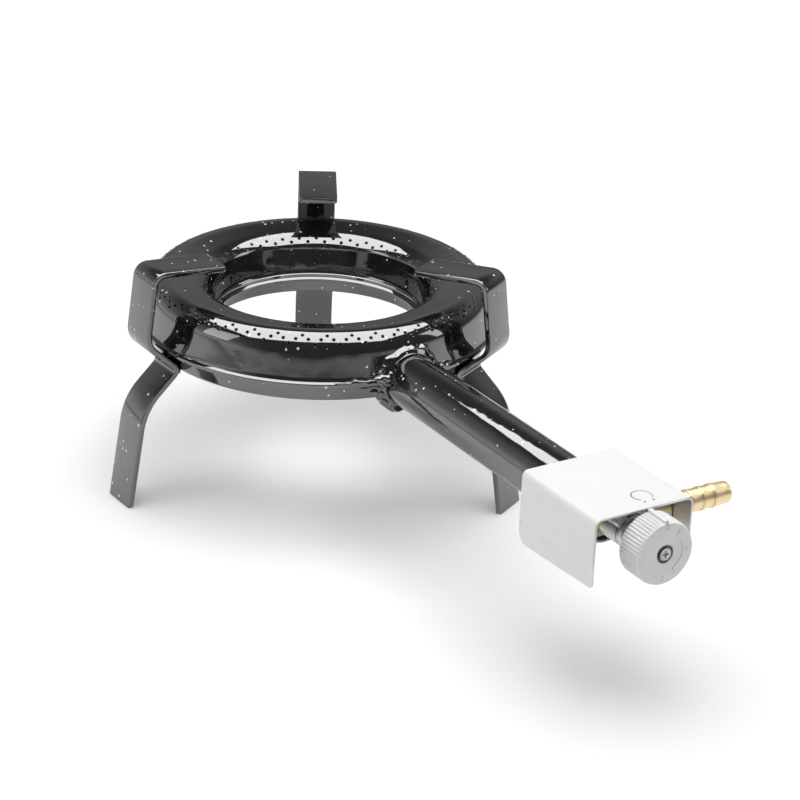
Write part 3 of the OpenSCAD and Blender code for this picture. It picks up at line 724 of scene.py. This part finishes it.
def legWelds(look):
    parts = []
    steps = look["steps"]
    outs = [Vector((1, 0, 0))] * steps
    for n, (*_, angle) in enumerate(legLook["legs"]):
        for out, up, size, seed in look["beads"]:
            r, z = trayLook["foot radius"] + out, trayZ + up
            centres = [Vector((r, look["length"] * (k / (steps - 1) - 0.5), z)) for k in range(steps)]
            bead = weldBead(centres, look["radius"] * size, outs, look["lump"], seed + n)
            parts.append(turned(bead, angle))
    return joined(*parts)


makePiece("legWelds", legWelds(legWeldLook), enamel, "root", ["leg_welds"], sharp=60)
print("legs made")

# Mixing tube, open at both ends
tubeLook = {"wall": 1.5, "end round": 0.5, "turn steps": 128}


def tubeShape(look):
    start, end = -tubeHigh.y, -tubeLow.y
    bore, soft = tubeRadius - look["wall"], look["end round"]
    corners = [(tubeRadius, start), (tubeRadius, end), (bore, end), (bore, start)]
    return ontoTube(lathe(roundLoop(corners, (0, soft, soft, 0)), look["turn steps"]))


makePiece("mixingTube", tubeShape(tubeLook), enamel, "root", ["mixing_tube"])

# Saddle weld at the ring, and runs of spilt weld along the lip and under it
weldLook = {
    "steps": 180, "rows": 22, "width": 4.4, "width swing": 0.5, "width waves": 2.1, "start": 0.1, "tuck": 0.3,
    "bead": 1.6, "bead swing": 1.3, "least bead": 0.1, "bead spread": 0.2,
    "crest": 0.58, "crest swing": 0.22, "crest waves": 3.4, "fillet": 2.6, "edge sink": 0.5,
    "lump": 0.8, "lump sizes": (5.0, 2.3), "fine share": 0.3, "lump sideways": 0.5, "lump ends": (4, 5),
    "seeds": {"width": 7.3, "bead": 3.3, "crest": 1.7, "lump": 4.1, "smear": 2.7},
    "lip inset": 1.5, "lip below": 1.2, "lip spread": 1.8, "wall blend": 2,
    "smear steps": 24, "smear lump": 0.8, "smear sway": 0.8, "sway waves": 30,
    # first and last angle, out, up, radius and taper
    "smears": ((263.0, 245.0, 0.9, 0.3, 2.1, 0.75), (263.5, 257.0, 1.0, 1.3, 3.0, 0.4),
               (262.5, 253.0, 0.8, -3.4, 1.5, 0.6), (262.0, 256.0, 0.1, -7.2, 1.7, 0.5),
               (278.0, 287.0, 0.7, 0.9, 1.5, 0.6)),
}


# Outline of ring and tray that the weld lies on, with the lip eased
def wallRadius(z):
    lean = math.tan(math.radians(ringLook["wall lean"]))
    above = lipRadius - weldLook["lip inset"] - max(0.0, z - lipZ) * lean
    share = min(1.0, max(0.0, (z - trayZ) / (lipZ - trayZ)))
    below = trayLook["foot radius"] + (trayLook["top radius"] - trayLook["foot radius"]) * share
    lip = math.exp(-((z - lipZ + weldLook["lip below"]) / weldLook["lip spread"]) ** 2)
    side = 1 / (1 + math.exp(-(z - lipZ) * weldLook["wall blend"]))
    plain = above * side + below * (1 - side)
    return plain + (lipRadius - plain) * lip


# Slow change round the tube
def swing(ray, look, name):
    lump = noise.noise(ray * look[name + " waves"] + Vector((look["seeds"][name], 0, 0)))
    return look[name + " swing"] * lump


# Bead and fillet from the tube to the ring, closed on its inside
def weldCollar(look):
    steps, rows, seeds = look["steps"], look["rows"], look["seeds"]
    swellIn, swellOut = look["lump ends"]
    loops = []
    for row in range(-1, rows + 1):
        s = max(0, row) / rows
        swell = min(1.0, swellIn * s) * min(1.0, swellOut * (1 - s))
        loop = []
        for k in range(steps):
            q = fullTurn * k / steps
            ray = Vector((math.sin(q), 0, math.cos(q)))
            width = look["width"] * (1 + swing(ray, look, "width"))
            rho = tubeRadius + (look["start"] + width * s if row >= 0 else -look["tuck"])
            x, z = rho * ray.x, tubeZ + rho * ray.z
            reach = math.sqrt(wallRadius(z) ** 2 - x * x)
            along = lumps(ray * tubeRadius, seeds["bead"], look)
            crest = look["crest"] + swing(ray, look, "crest")
            bead = look["bead"] * max(look["least bead"], 1 + look["bead swing"] * along)
            ridge = math.exp(-((s - crest) / look["bead spread"]) ** 2) * bead
            fillet = look["fillet"] * (1 - s) ** 3
            p = Vector((x, -reach - ridge - fillet + look["edge sink"] * s ** 6, z))
            push = ray * look["lump sideways"] + Vector((0, -1, 0))
            loop.append(p + push * look["lump"] * swell * lumps(p, seeds["lump"], look))
        loops.append(loop)
    return skin(loops, True)


def weldSmears(look):
    parts = []
    steps = look["smear steps"]
    for first, last, off, up, radius, taper in look["smears"]:
        z = lipZ + up
        centres, outs = [], []
        for k in range(steps):
            q = math.radians(first + (last - first) * k / (steps - 1))
            out = Vector((math.cos(q), math.sin(q), 0))
            sway = look["smear sway"] * noise.noise(Vector((q * look["sway waves"], radius, 0)))
            centres.append(out * (wallRadius(z) + off) + Vector((0, 0, z + sway)))
            outs.append(out)
        seed = look["seeds"]["smear"] + first + up
        parts.append(weldBead(centres, radius, outs, look["smear lump"], seed, taper))
    return parts


tubeWeld = joined(weldCollar(weldLook), *weldSmears(weldLook))
makePiece("tubeWeld", tubeWeld, enamel, "root", ["tube_weld"], sharp=80)
print("tube made")

# Label over the guard's top, the upper left flap and a little of the right one
labelLook = {"inset": 0.35, "corner": 1.6, "corner steps": (0.0, 0.1, 0.3, 0.6, 1.0), "fold": 3.0,
             "fold steps": 8, "lift": 0.02, "film": 0.1, "wrap": 5.5}


def labelShape(look):
    left, top = labelLow.x, labelHigh.z
    solidFilm = top - guardHigh.z  # the CAD label is thicker than the film
    right = guardHigh.x + solidFilm
    path = [Vector(p) for p in ((left, labelLow.z), (left, top), (right, top), (right, top - look["wrap"]))]
    radii = [0, look["fold"] + solidFilm, look["fold"] + solidFilm, 0]
    outer = bentLine(path, radii, solidFilm - look["film"], look["fold steps"])
    inner = bentLine(path, radii, solidFilm - look["lift"], look["fold steps"])
    back, front = -labelHigh.y + look["inset"], -labelLow.y - look["inset"]
    c, spans = look["corner"], look["corner steps"]
    stations = [back + s * c for s in spans] + [front - s * c for s in reversed(spans)]
    loops = []
    for d in stations:
        near = min(d - back, front - d)
        cut = Vector((0, c - math.sqrt(max(0.0, c * c - (c - min(near, c)) ** 2))))
        sides = [[line[0] + cut, *line[1:-1], line[-1] + cut] for line in (outer, inner)]
        loops.append([(p.x, -d, p.y) for p in sides[0] + sides[1][::-1]])
    return skin(loops)


makePiece("guardLabel", labelShape(labelLook), film, "root", ["guard_label"], sharp=30)

# Hose nozzle with its hexagon and barbs
nozzleLook = {
    "hex start": 13.8, "hex end": 24.3, "flats": 16.0, "hex chamfer": ((0.0, 0.9), (0.5, 0.97), (1.0, 1.01)),
    "seat": 1.0, "root": 4.6, "barb": 5.5, "first barb": 38.0, "pitch": 6.2, "waist": 4.95, "barbs": 3,
    "land": 1.0, "bore": 2.8, "thread": 4.0, "barb rounds": (0.1, 0.15, 0.6), "end rounds": (0.4, 0.7, 0.3),
    "round steps": 3, "turn steps": 72,
}


def barbShape(look):
    start, end = nozzleLow.x, nozzleHigh.x
    seat = look["hex start"] + look["seat"]
    bore, thread, root, barb, waist = (look[n] for n in ("bore", "thread", "root", "barb", "waist"))
    corners = [(bore, start), (thread, start), (thread, seat), (root, seat)]
    for k in range(look["barbs"]):
        at = look["first barb"] + k * look["pitch"]
        corners += [(root if k == 0 else waist, at), (barb, at), (barb, at + look["land"])]
    corners += [(waist, look["first barb"] + look["barbs"] * look["pitch"]), (waist, end), (bore, end)]
    rounds = (0, 0, 0, 0, *look["barb rounds"] * look["barbs"], *look["end rounds"])
    return lathe(roundLoop(corners, rounds, look["round steps"]), look["turn steps"])


def hexShape(look):
    sixth = math.pi / 3
    flat = look["flats"] / 2
    widest = flat / math.cos(sixth / 2)
    stations = [(look["hex start"] + d, limit) for d, limit in look["hex chamfer"]]
    stations += [(look["hex end"] - d, limit) for d, limit in reversed(look["hex chamfer"])]
    loops = []
    for d, limit in stations:
        loop = []
        for k in range(look["turn steps"]):
            q = fullTurn * (k + 0.5) / look["turn steps"]
            part = (q + sixth / 2) % sixth - sixth / 2
            r = min(flat / math.cos(part), widest * limit)
            loop.append((r * math.cos(q), r * math.sin(q), d))
        loops.append(loop)
    return skin(loops)


nozzle = ontoNozzle(joined(barbShape(nozzleLook), hexShape(nozzleLook)))
makePiece("hoseNozzle", nozzle, brass, "root", ["hose_nozzle"], sharp=30)

# Return spring inside the tap, which the knob presses together; it is drawn at one length and rides on the
# plug
springLook = {"wire": 0.5, "turns": 3, "sides": 12, "steps": 40, "push": 2.05}


def springShape(look):
    half = look["wire"] / 2
    mean = (springHigh.x - springLow.x) / 2 - half
    start, end = -springHigh.y + half, -springLow.y - half
    count = look["turns"] * look["steps"]
    loops = []
    for k in range(count + 1):
        q = fullTurn * k / look["steps"]
        along = start + (end - start) * k / count
        loop = []
        for s in range(look["sides"]):
            w = fullTurn * s / look["sides"]
            r = mean + half * math.cos(w)
            loop.append((r * math.cos(q), r * math.sin(q), along + half * math.sin(w)))
        loops.append(loop)
    return ontoTube(skin(loops))


spring = makePiece("returnSpring", springShape(springLook), plated, "plug", ["return_spring"])
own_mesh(spring)
print("tap pieces made")

# Knob with grip flutes, pointer rib, recess and plain raised marks
knobLook = {
    "flutes": 56, "flute depth": 0.8, "flute steps": 6, "flute power": 0.8, "wall": 2.0, "face": 5.0,
    # The margin widens the painted shade past the recess, outward and towards the back
    "recess": 4.2, "recess depth": 2.0, "recess foot": 0.3, "shade margin": (0.05, 0.5),
    "recess edge": ((0.0, 0.35), (0.12, 0.1), (0.4, 0.0)),
    "boss": 6.2, "boss back": 1.0, "bore": 4.05, "middle": 0.01, "skirt edge": 0.2,
    # inward, along the axis, and share of the flute depth
    "front edge": ((1.0, 0.0, 0), (0.7, 0.08, 0), (0.55, 0.3, 0), (0.5, 0.6, 0.2), (0.15, 0.85, 0.7),
                   (0.0, 1.2, 1)),
    "back edge": ((0.0, 0.7, 1), (0.12, 0.3, 1), (0.5, 0.0, 0.5)),
    "notch width": 1.7, "notch length": 3.6, "notch depth": 0.9, "notch edge": 0.15, "notch reach": 0.7,
    "rib width": 2.2, "rib rise": 0.7, "rib root": 1.3, "rib tip": 0.4, "rib ends": (0.4, 0.9),
    "rib edge": 0.3, "mark height": 0.4,
}
knobBack, knobFront = -knobHigh.y, -knobLow.y
knobRadius = (knobHigh.x - knobLow.x) / 2
knobFace = knobFront - knobLook["mark height"]


def knobShape(look):
    steps = look["flutes"] * look["flute steps"]
    r, front, back = knobRadius, knobFace, knobBack
    hole, foot, wall, soft = look["recess"], look["recess foot"], r - look["wall"], look["skirt edge"]
    seat, hollow = knobFront - look["recess depth"], knobFront - look["face"]
    notchR = r - look["notch length"]
    boss, bossBack, bore, middle = look["boss"], back + look["boss back"], look["bore"], look["middle"]
    rings = [(middle, seat, 0), (hole - foot, seat, 0), (hole, seat + foot, 0)]
    rings += [(hole + out, front - down, 0) for out, down in look["recess edge"]]
    rings += [(notchR - look["notch edge"], front, 0), (notchR, front, 0)]
    rings += [(r - inward, front - down, share) for inward, down, share in look["front edge"]]
    rings += [(r - inward, back + up, share) for inward, up, share in look["back edge"]]
    rings += [(wall + soft, back, 0), (wall, back + soft, 0), (wall, hollow, 0), (boss, hollow, 0)]
    rings += [(boss, bossBack, 0), (bore, bossBack, 0), (bore, hollow, 0), (middle, hollow, 0)]
    loops = []
    for radius, d, share in rings:
        loop = []
        for k in range(steps):
            q = fullTurn * k / steps
            wave = abs(math.sin(q * look["flutes"] / 2)) ** look["flute power"]
            fluted = radius - share * look["flute depth"] * (1 - wave)
            x, y = fluted * math.sin(q), fluted * math.cos(q)
            inNotch = y >= notchR and abs(x) < look["notch width"] / 2 and d > front - look["notch reach"]
            loop.append((x, y, d - look["notch depth"] if inNotch else d))
        loops.append(loop)
    return skin(loops, caps=False)


# Block with rounded corners and a front edge softened in two steps
def blockShape(low, high, edge, roundSteps=3, halfway=0.3):
    corners = roundLoop([low[:2], (high[0], low[1]), high[:2], (low[0], high[1])], [edge] * 4, roundSteps)
    middle = Vector(((low[0] + high[0]) / 2, (low[1] + high[1]) / 2))
    soft = halfway * edge
    loops = []
    for d, trim in ((low[2], 0.0), (high[2] - edge, 0.0), (high[2] - soft, soft), (high[2], edge)):
        shrunk = [(p - middle) * (1 - trim / (p - middle).length) + middle for p in corners]
        loops.append([(p.x, p.y, d) for p in shrunk])
    return skin(loops)


# Pointer rib on the rim, taller towards the back
def ribShape(look):
    half = look["rib width"] / 2
    low = (-half, knobRadius - look["rib root"], knobBack + look["rib ends"][0])
    high = (half, knobHigh.z - tubeZ, knobFace - look["rib ends"][1])
    verts, faces = blockShape(low, high, look["rib edge"])
    lifted = []
    for x, y, d in verts:
        share = (knobFront - d) / (knobFront - knobBack)
        lifted.append((x, y + look["rib rise"] * share if y > knobRadius - look["rib tip"] else y, d))
    return lifted, faces


markLook = {
    "sunk": 0.3, "arc radius": 9.4, "arc": (35, 150), "arc width": (0.6, 1.8), "arc steps": 40,
    "arc edge": 0.12, "tick radius": 11.4, "tick width": 0.9, "tick edge": 0.2,
    "ticks": ((35, 2.0), (90, 1.4), (150, 2.0), (-90, 1.6), (180, 2.4)),  # angle and length
}


# Raised arc on the knob's face that swells from one end to the other
def arcShape(look):
    first, last = look["arc"]
    thin, thick = look["arc width"]
    base, top, radius = knobFace - look["sunk"], knobFront, look["arc radius"]
    loops = []
    for k in range(look["arc steps"] + 1):
        share = k / look["arc steps"]
        q = math.radians(first + (last - first) * share)
        half = (thin + (thick - thin) * share) / 2
        edge = min(look["arc edge"], half / 2)
        section = ((-half, base), (half, base), (half, top - edge), (half - edge, top),
                   (edge - half, top), (-half, top - edge))
        loops.append([((radius + o) * math.sin(q), (radius + o) * math.cos(q), d) for o, d in section])
    return skin(loops)


def tickShapes(look):
    half, radius = look["tick width"] / 2, look["tick radius"]
    ticks = []
    for degrees, length in look["ticks"]:
        low = (-half, radius - length / 2, knobFace - look["sunk"])
        high = (half, radius + length / 2, knobFront)
        ticks.append(turned(blockShape(low, high, look["tick edge"]), -degrees))
    return ticks


knobAll = joined(knobShape(knobLook), ribShape(knobLook), arcShape(markLook), *tickShapes(markLook))
knob = makePiece("knob", ontoTube(knobAll), plastic, "knob", ["knob"])
# A second, darker grey paints the shade in the sunk ring round the screw
knob.data.materials.append(recessPaintedShade)
shadeReach = (knobLook["recess"] + knobLook["shade margin"][0]) * mm
shadeBack = (knobFront - knobLook["recess depth"] - knobLook["shade margin"][1]) * mm
for face in knob.data.polygons:  # the sunk ring round the screw takes a painted shade
    away = Vector((face.center.x, 0, face.center.z - tubeZ * mm)).length
    if away < shadeReach and -face.center.y > shadeBack:
        face.material_index = 1
print("knob made")

# Raised hub on the tap's cover plate, round the spindle
hubLook = {"radius": 7.4, "bore": 4.3, "height": 3.4, "sunk": 0.2, "flange": 0.5, "flange height": 0.2,
           "flange rise": 0.6, "taper": 0.3, "rounds": (0, 0, 0.15, 0.3, 0.6, 0.2), "turn steps": 96}


def hubShape(look):
    low, top = plateFront - look["sunk"], plateFront + look["height"]
    radius, wide = look["radius"], look["radius"] + look["flange"]
    corners = [(look["bore"], low), (wide, low), (wide, plateFront + look["flange height"]),
               (radius, plateFront + look["flange rise"]), (radius - look["taper"], top), (look["bore"], top)]
    return ontoTube(lathe(roundLoop(corners, look["rounds"]), look["turn steps"]))


makePiece("coverHub", hubShape(hubLook), plated, "root", sharp=35)

# Plain dial mark printed on the label, between its two end dots
dialLook = {"centre": (6.0, 11.0), "radius": 4.6, "line": (0.252, 0.588), "angles": (40.0, 320.0),
            "steps": 56, "lift": 0.02, "sunk": 0.02, "dot": 0.55, "dot sides": 16, "dots apart": 2.4,
            "dots below": 0.9}


def dialShape(look):
    top = guardHigh.z + labelLook["film"]
    low, high = top - look["sunk"], top + look["lift"]
    cx, cy = look["centre"][0], labelLow.y + look["centre"][1]
    (first, last), (thin, thick) = look["angles"], look["line"]
    loops = []
    for k in range(look["steps"] + 1):
        share = k / look["steps"]
        q = math.radians(first + (last - first) * share)
        half = (thin + (thick - thin) * share) / 2
        inside, outside = look["radius"] - half, look["radius"] + half
        section = ((inside, low), (outside, low), (outside, high), (inside, high))
        loops.append([(cx + r * math.sin(q), cy - r * math.cos(q), h) for r, h in section])
    parts = [skin(loops)]
    turns = [fullTurn * k / look["dot sides"] for k in range(look["dot sides"])]
    for side in (-1, 1):
        x, y = cx + side * look["dots apart"], cy - look["radius"] - look["dots below"]
        edge = [(x + look["dot"] * math.cos(q), y + look["dot"] * math.sin(q)) for q in turns]
        parts.append(skin([[(*p, h) for p in edge] for h in (low, high)]))
    return joined(*parts)


makePiece("dialMark", dialShape(dialLook), ink, "root")
print("marks made")

# CAD nodes that stay in sight or inside take a surface of their own
kept = {
    "guard": galvanised, "air_disc": enamel, "cover_plate": plated, "cover_screws": plated,
    "knob_screw": screwSteel, "spindle": plated, "injector": brass, "tap_body": tapMetal, "tap_plug": brass,
    "cover_gasket": fibre, "nozzle_washer": fibre,
}
for node, material in kept.items():
    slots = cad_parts[node].data.materials
    slots.clear()
    slots.append(material)

# Studio in metres: pale floor, a wide soft light above and two small ones at the sides
# The gleam shows only where the wide light is mirrored
studio = {
    "floor": (0.9, 0.9, 0.9, 1), "floor rough": 0.9, "floor reach": (3.0, 1.6, 3.0), "floor drop": 0.0003,
    "floor lift": (0.09, 1.0), "lift range": (0.28, 1.4), "mirrored lift": 0.04, "ambient": 0.2,
    "mirrored room": {"left": 0.85, "back": 0.18, "middle": 0.32, "ceiling": 0.07, "front floor": 0.1,
                      "front": 0.5},
    "room spans": {"left to back": (-0.5, 0.1), "low to middle": (0.0, 0.4), "middle to ceiling": (0.4, 0.7),
                   "floor to front": (-0.12, -0.03), "front to ceiling": (-0.01, 0.05),
                   "front to back": (-0.5, 0.3)},
    "lights": {
        "topLight": {"at": (0.03, 0.1, 1.45), "to": (0.03, 0.1, 0.0), "across": (0.862, -0.507, 0.0),
                     "size": (2.0, 1.65), "power": 27.5},
        "topGleam": {"at": (0.03, 0.1, 1.46), "to": (0.03, 0.1, 0.0), "across": (0.862, -0.507, 0.0),
                     "size": (2.0, 1.65), "power": 14.0, "mirrored only": True},
        "leftLight": {"at": (-1.3, 0.2, 0.7), "to": (0.0, 0.0, 0.05), "across": (0.0, 1.0, 0.0),
                      "size": (0.5, 0.8), "power": 2.0},
        "rightLight": {"at": (1.2, -0.7, 0.7), "to": (0.0, 0.0, 0.05), "across": (0.5, 0.86, 0.0),
                       "size": (0.5, 0.8), "power": 2.6},
    },
}


# Straight rays from the camera, and rays that come by way of a mirroring or clear surface
def seenDirectly(tree):
    path = tree.nodes.new("ShaderNodeLightPath")
    mirrored = addMath(tree, "MAXIMUM", path.outputs["Is Glossy Ray"], path.outputs["Is Transmission Ray"])
    return path.outputs["Is Camera Ray"], mirrored


# The floor glows more with distance, so that it ends in white and keeps the shadow
def floorPiece():
    mesh = bpy.data.meshes.new("floor")
    wide, front, rear = studio["floor reach"]
    corners = [(-wide, -front), (wide, -front), (wide, rear), (-wide, rear)]
    mesh.from_pydata([(x, y, -studio["floor drop"]) for x, y in corners], [], [(0, 1, 2, 3)])
    floor = bpy.data.objects.new("floor", mesh)
    bpy.context.scene.collection.objects.link(floor)
    material, tree, shader = startMaterial("paleFloor")
    shader.inputs["Base Color"].default_value = studio["floor"]
    shader.inputs["Roughness"].default_value = studio["floor rough"]
    shader.inputs["Emission Color"].default_value = (1, 1, 1, 1)
    straight, mirrored = seenDirectly(tree)
    distance = tree.nodes.new("ShaderNodeVectorMath")
    distance.operation = "LENGTH"
    tree.links.new(objectCoords(tree), distance.inputs[0])
    lift = addRange(tree, distance.outputs["Value"], studio["lift range"], studio["floor lift"])
    glow = addMath(tree, "ADD", addMath(tree, "MULTIPLY", straight, lift),
                   addMath(tree, "MULTIPLY", mirrored, studio["mirrored lift"]))
    tree.links.new(glow, shader.inputs["Emission Strength"])
    mesh.materials.append(material)


def areaLight(name, plan):
    lamp = bpy.data.lights.new(name, "AREA")
    lamp.shape = "RECTANGLE"
    lamp.size, lamp.size_y = plan["size"]
    lamp.energy = plan["power"]
    light = bpy.data.objects.new(name, lamp)
    bpy.context.scene.collection.objects.link(light)
    z = (Vector(plan["at"]) - Vector(plan["to"])).normalized()
    x = Vector(plan["across"])
    x = (x - z * x.dot(z)).normalized()
    turn = Matrix((x, z.cross(x), z)).transposed().to_4x4()
    light.matrix_world = Matrix.Translation(plan["at"]) @ turn
    light.visible_diffuse = not plan.get("mirrored only", False)


# One value where share is 0, the other where it is 1
def blend(tree, share, first, second):
    rest = addMath(tree, "SUBTRACT", 1.0, share)
    return addMath(tree, "ADD", addMath(tree, "MULTIPLY", first, rest),
                   addMath(tree, "MULTIPLY", share, second))


# White room for the camera; mirrored rays see dimmer walls and a dark ceiling
def studioWorld():
    world = bpy.data.worlds.new("studio")
    world.use_nodes = True
    tree = world.node_tree
    backdrop = tree.nodes["Background"]
    backdrop.inputs["Color"].default_value = (1, 1, 1, 1)
    look, spans = studio["mirrored room"], studio["room spans"]
    heading = tree.nodes.new("ShaderNodeSeparateXYZ")
    tree.links.new(tree.nodes.new("ShaderNodeTexCoord").outputs["Generated"], heading.inputs[0])
    across, depth, height = heading.outputs
    skirting = addRange(tree, across, spans["left to back"], (look["left"], look["back"]))
    rise = addRange(tree, height, spans["low to middle"], (0.0, 1.0))
    dimmer = addRange(tree, height, spans["middle to ceiling"], (0.0, look["middle"] - look["ceiling"]))
    backWall = addMath(tree, "SUBTRACT", blend(tree, rise, skirting, look["middle"]), dimmer)
    lowFront = addRange(tree, height, spans["floor to front"], (look["front floor"], look["front"]))
    dimmer = addRange(tree, height, spans["front to ceiling"], (0.0, look["front"] - look["ceiling"]))
    frontWall = addMath(tree, "SUBTRACT", lowFront, dimmer)
    behind = addRange(tree, depth, spans["front to back"], (0.0, 1.0))
    room = blend(tree, behind, frontWall, backWall)
    straight, mirrored = seenDirectly(tree)
    extra = addMath(tree, "MULTIPLY", mirrored, addMath(tree, "SUBTRACT", room, studio["ambient"]))
    white = addMath(tree, "MULTIPLY", straight, 1 - studio["ambient"])
    level = addMath(tree, "ADD", addMath(tree, "ADD", extra, white), studio["ambient"])
    tree.links.new(level, backdrop.inputs["Strength"])
    bpy.context.scene.world = world


floorPiece()
for name, plan in studio["lights"].items():
    areaLight(name, plan)
studioWorld()
print("studio made")

# Camera that matches the photograph
cameraLook = {"at": (-0.6167, -1.0481, 0.5776), "right": (0.8514, -0.5233, 0.0358),
              "up": (0.1871, 0.3668, 0.9113), "lens": 117.0, "sensor": 36.0, "far": 50.0}
right = Vector(cameraLook["right"]).normalized()
up = (Vector(cameraLook["up"]) - right * right.dot(Vector(cameraLook["up"]))).normalized()
facing = Matrix((right, up, right.cross(up))).transposed().to_4x4()
camera = bpy.data.objects.new("camera", bpy.data.cameras.new("camera"))
camera.data.lens = cameraLook["lens"]
camera.data.sensor_width = cameraLook["sensor"]
camera.data.clip_end = cameraLook["far"]
camera.matrix_world = Matrix.Translation(cameraLook["at"]) @ facing
bpy.context.scene.collection.objects.link(camera)
bpy.context.scene.camera = camera
bpy.context.scene.view_settings.view_transform = "Standard"
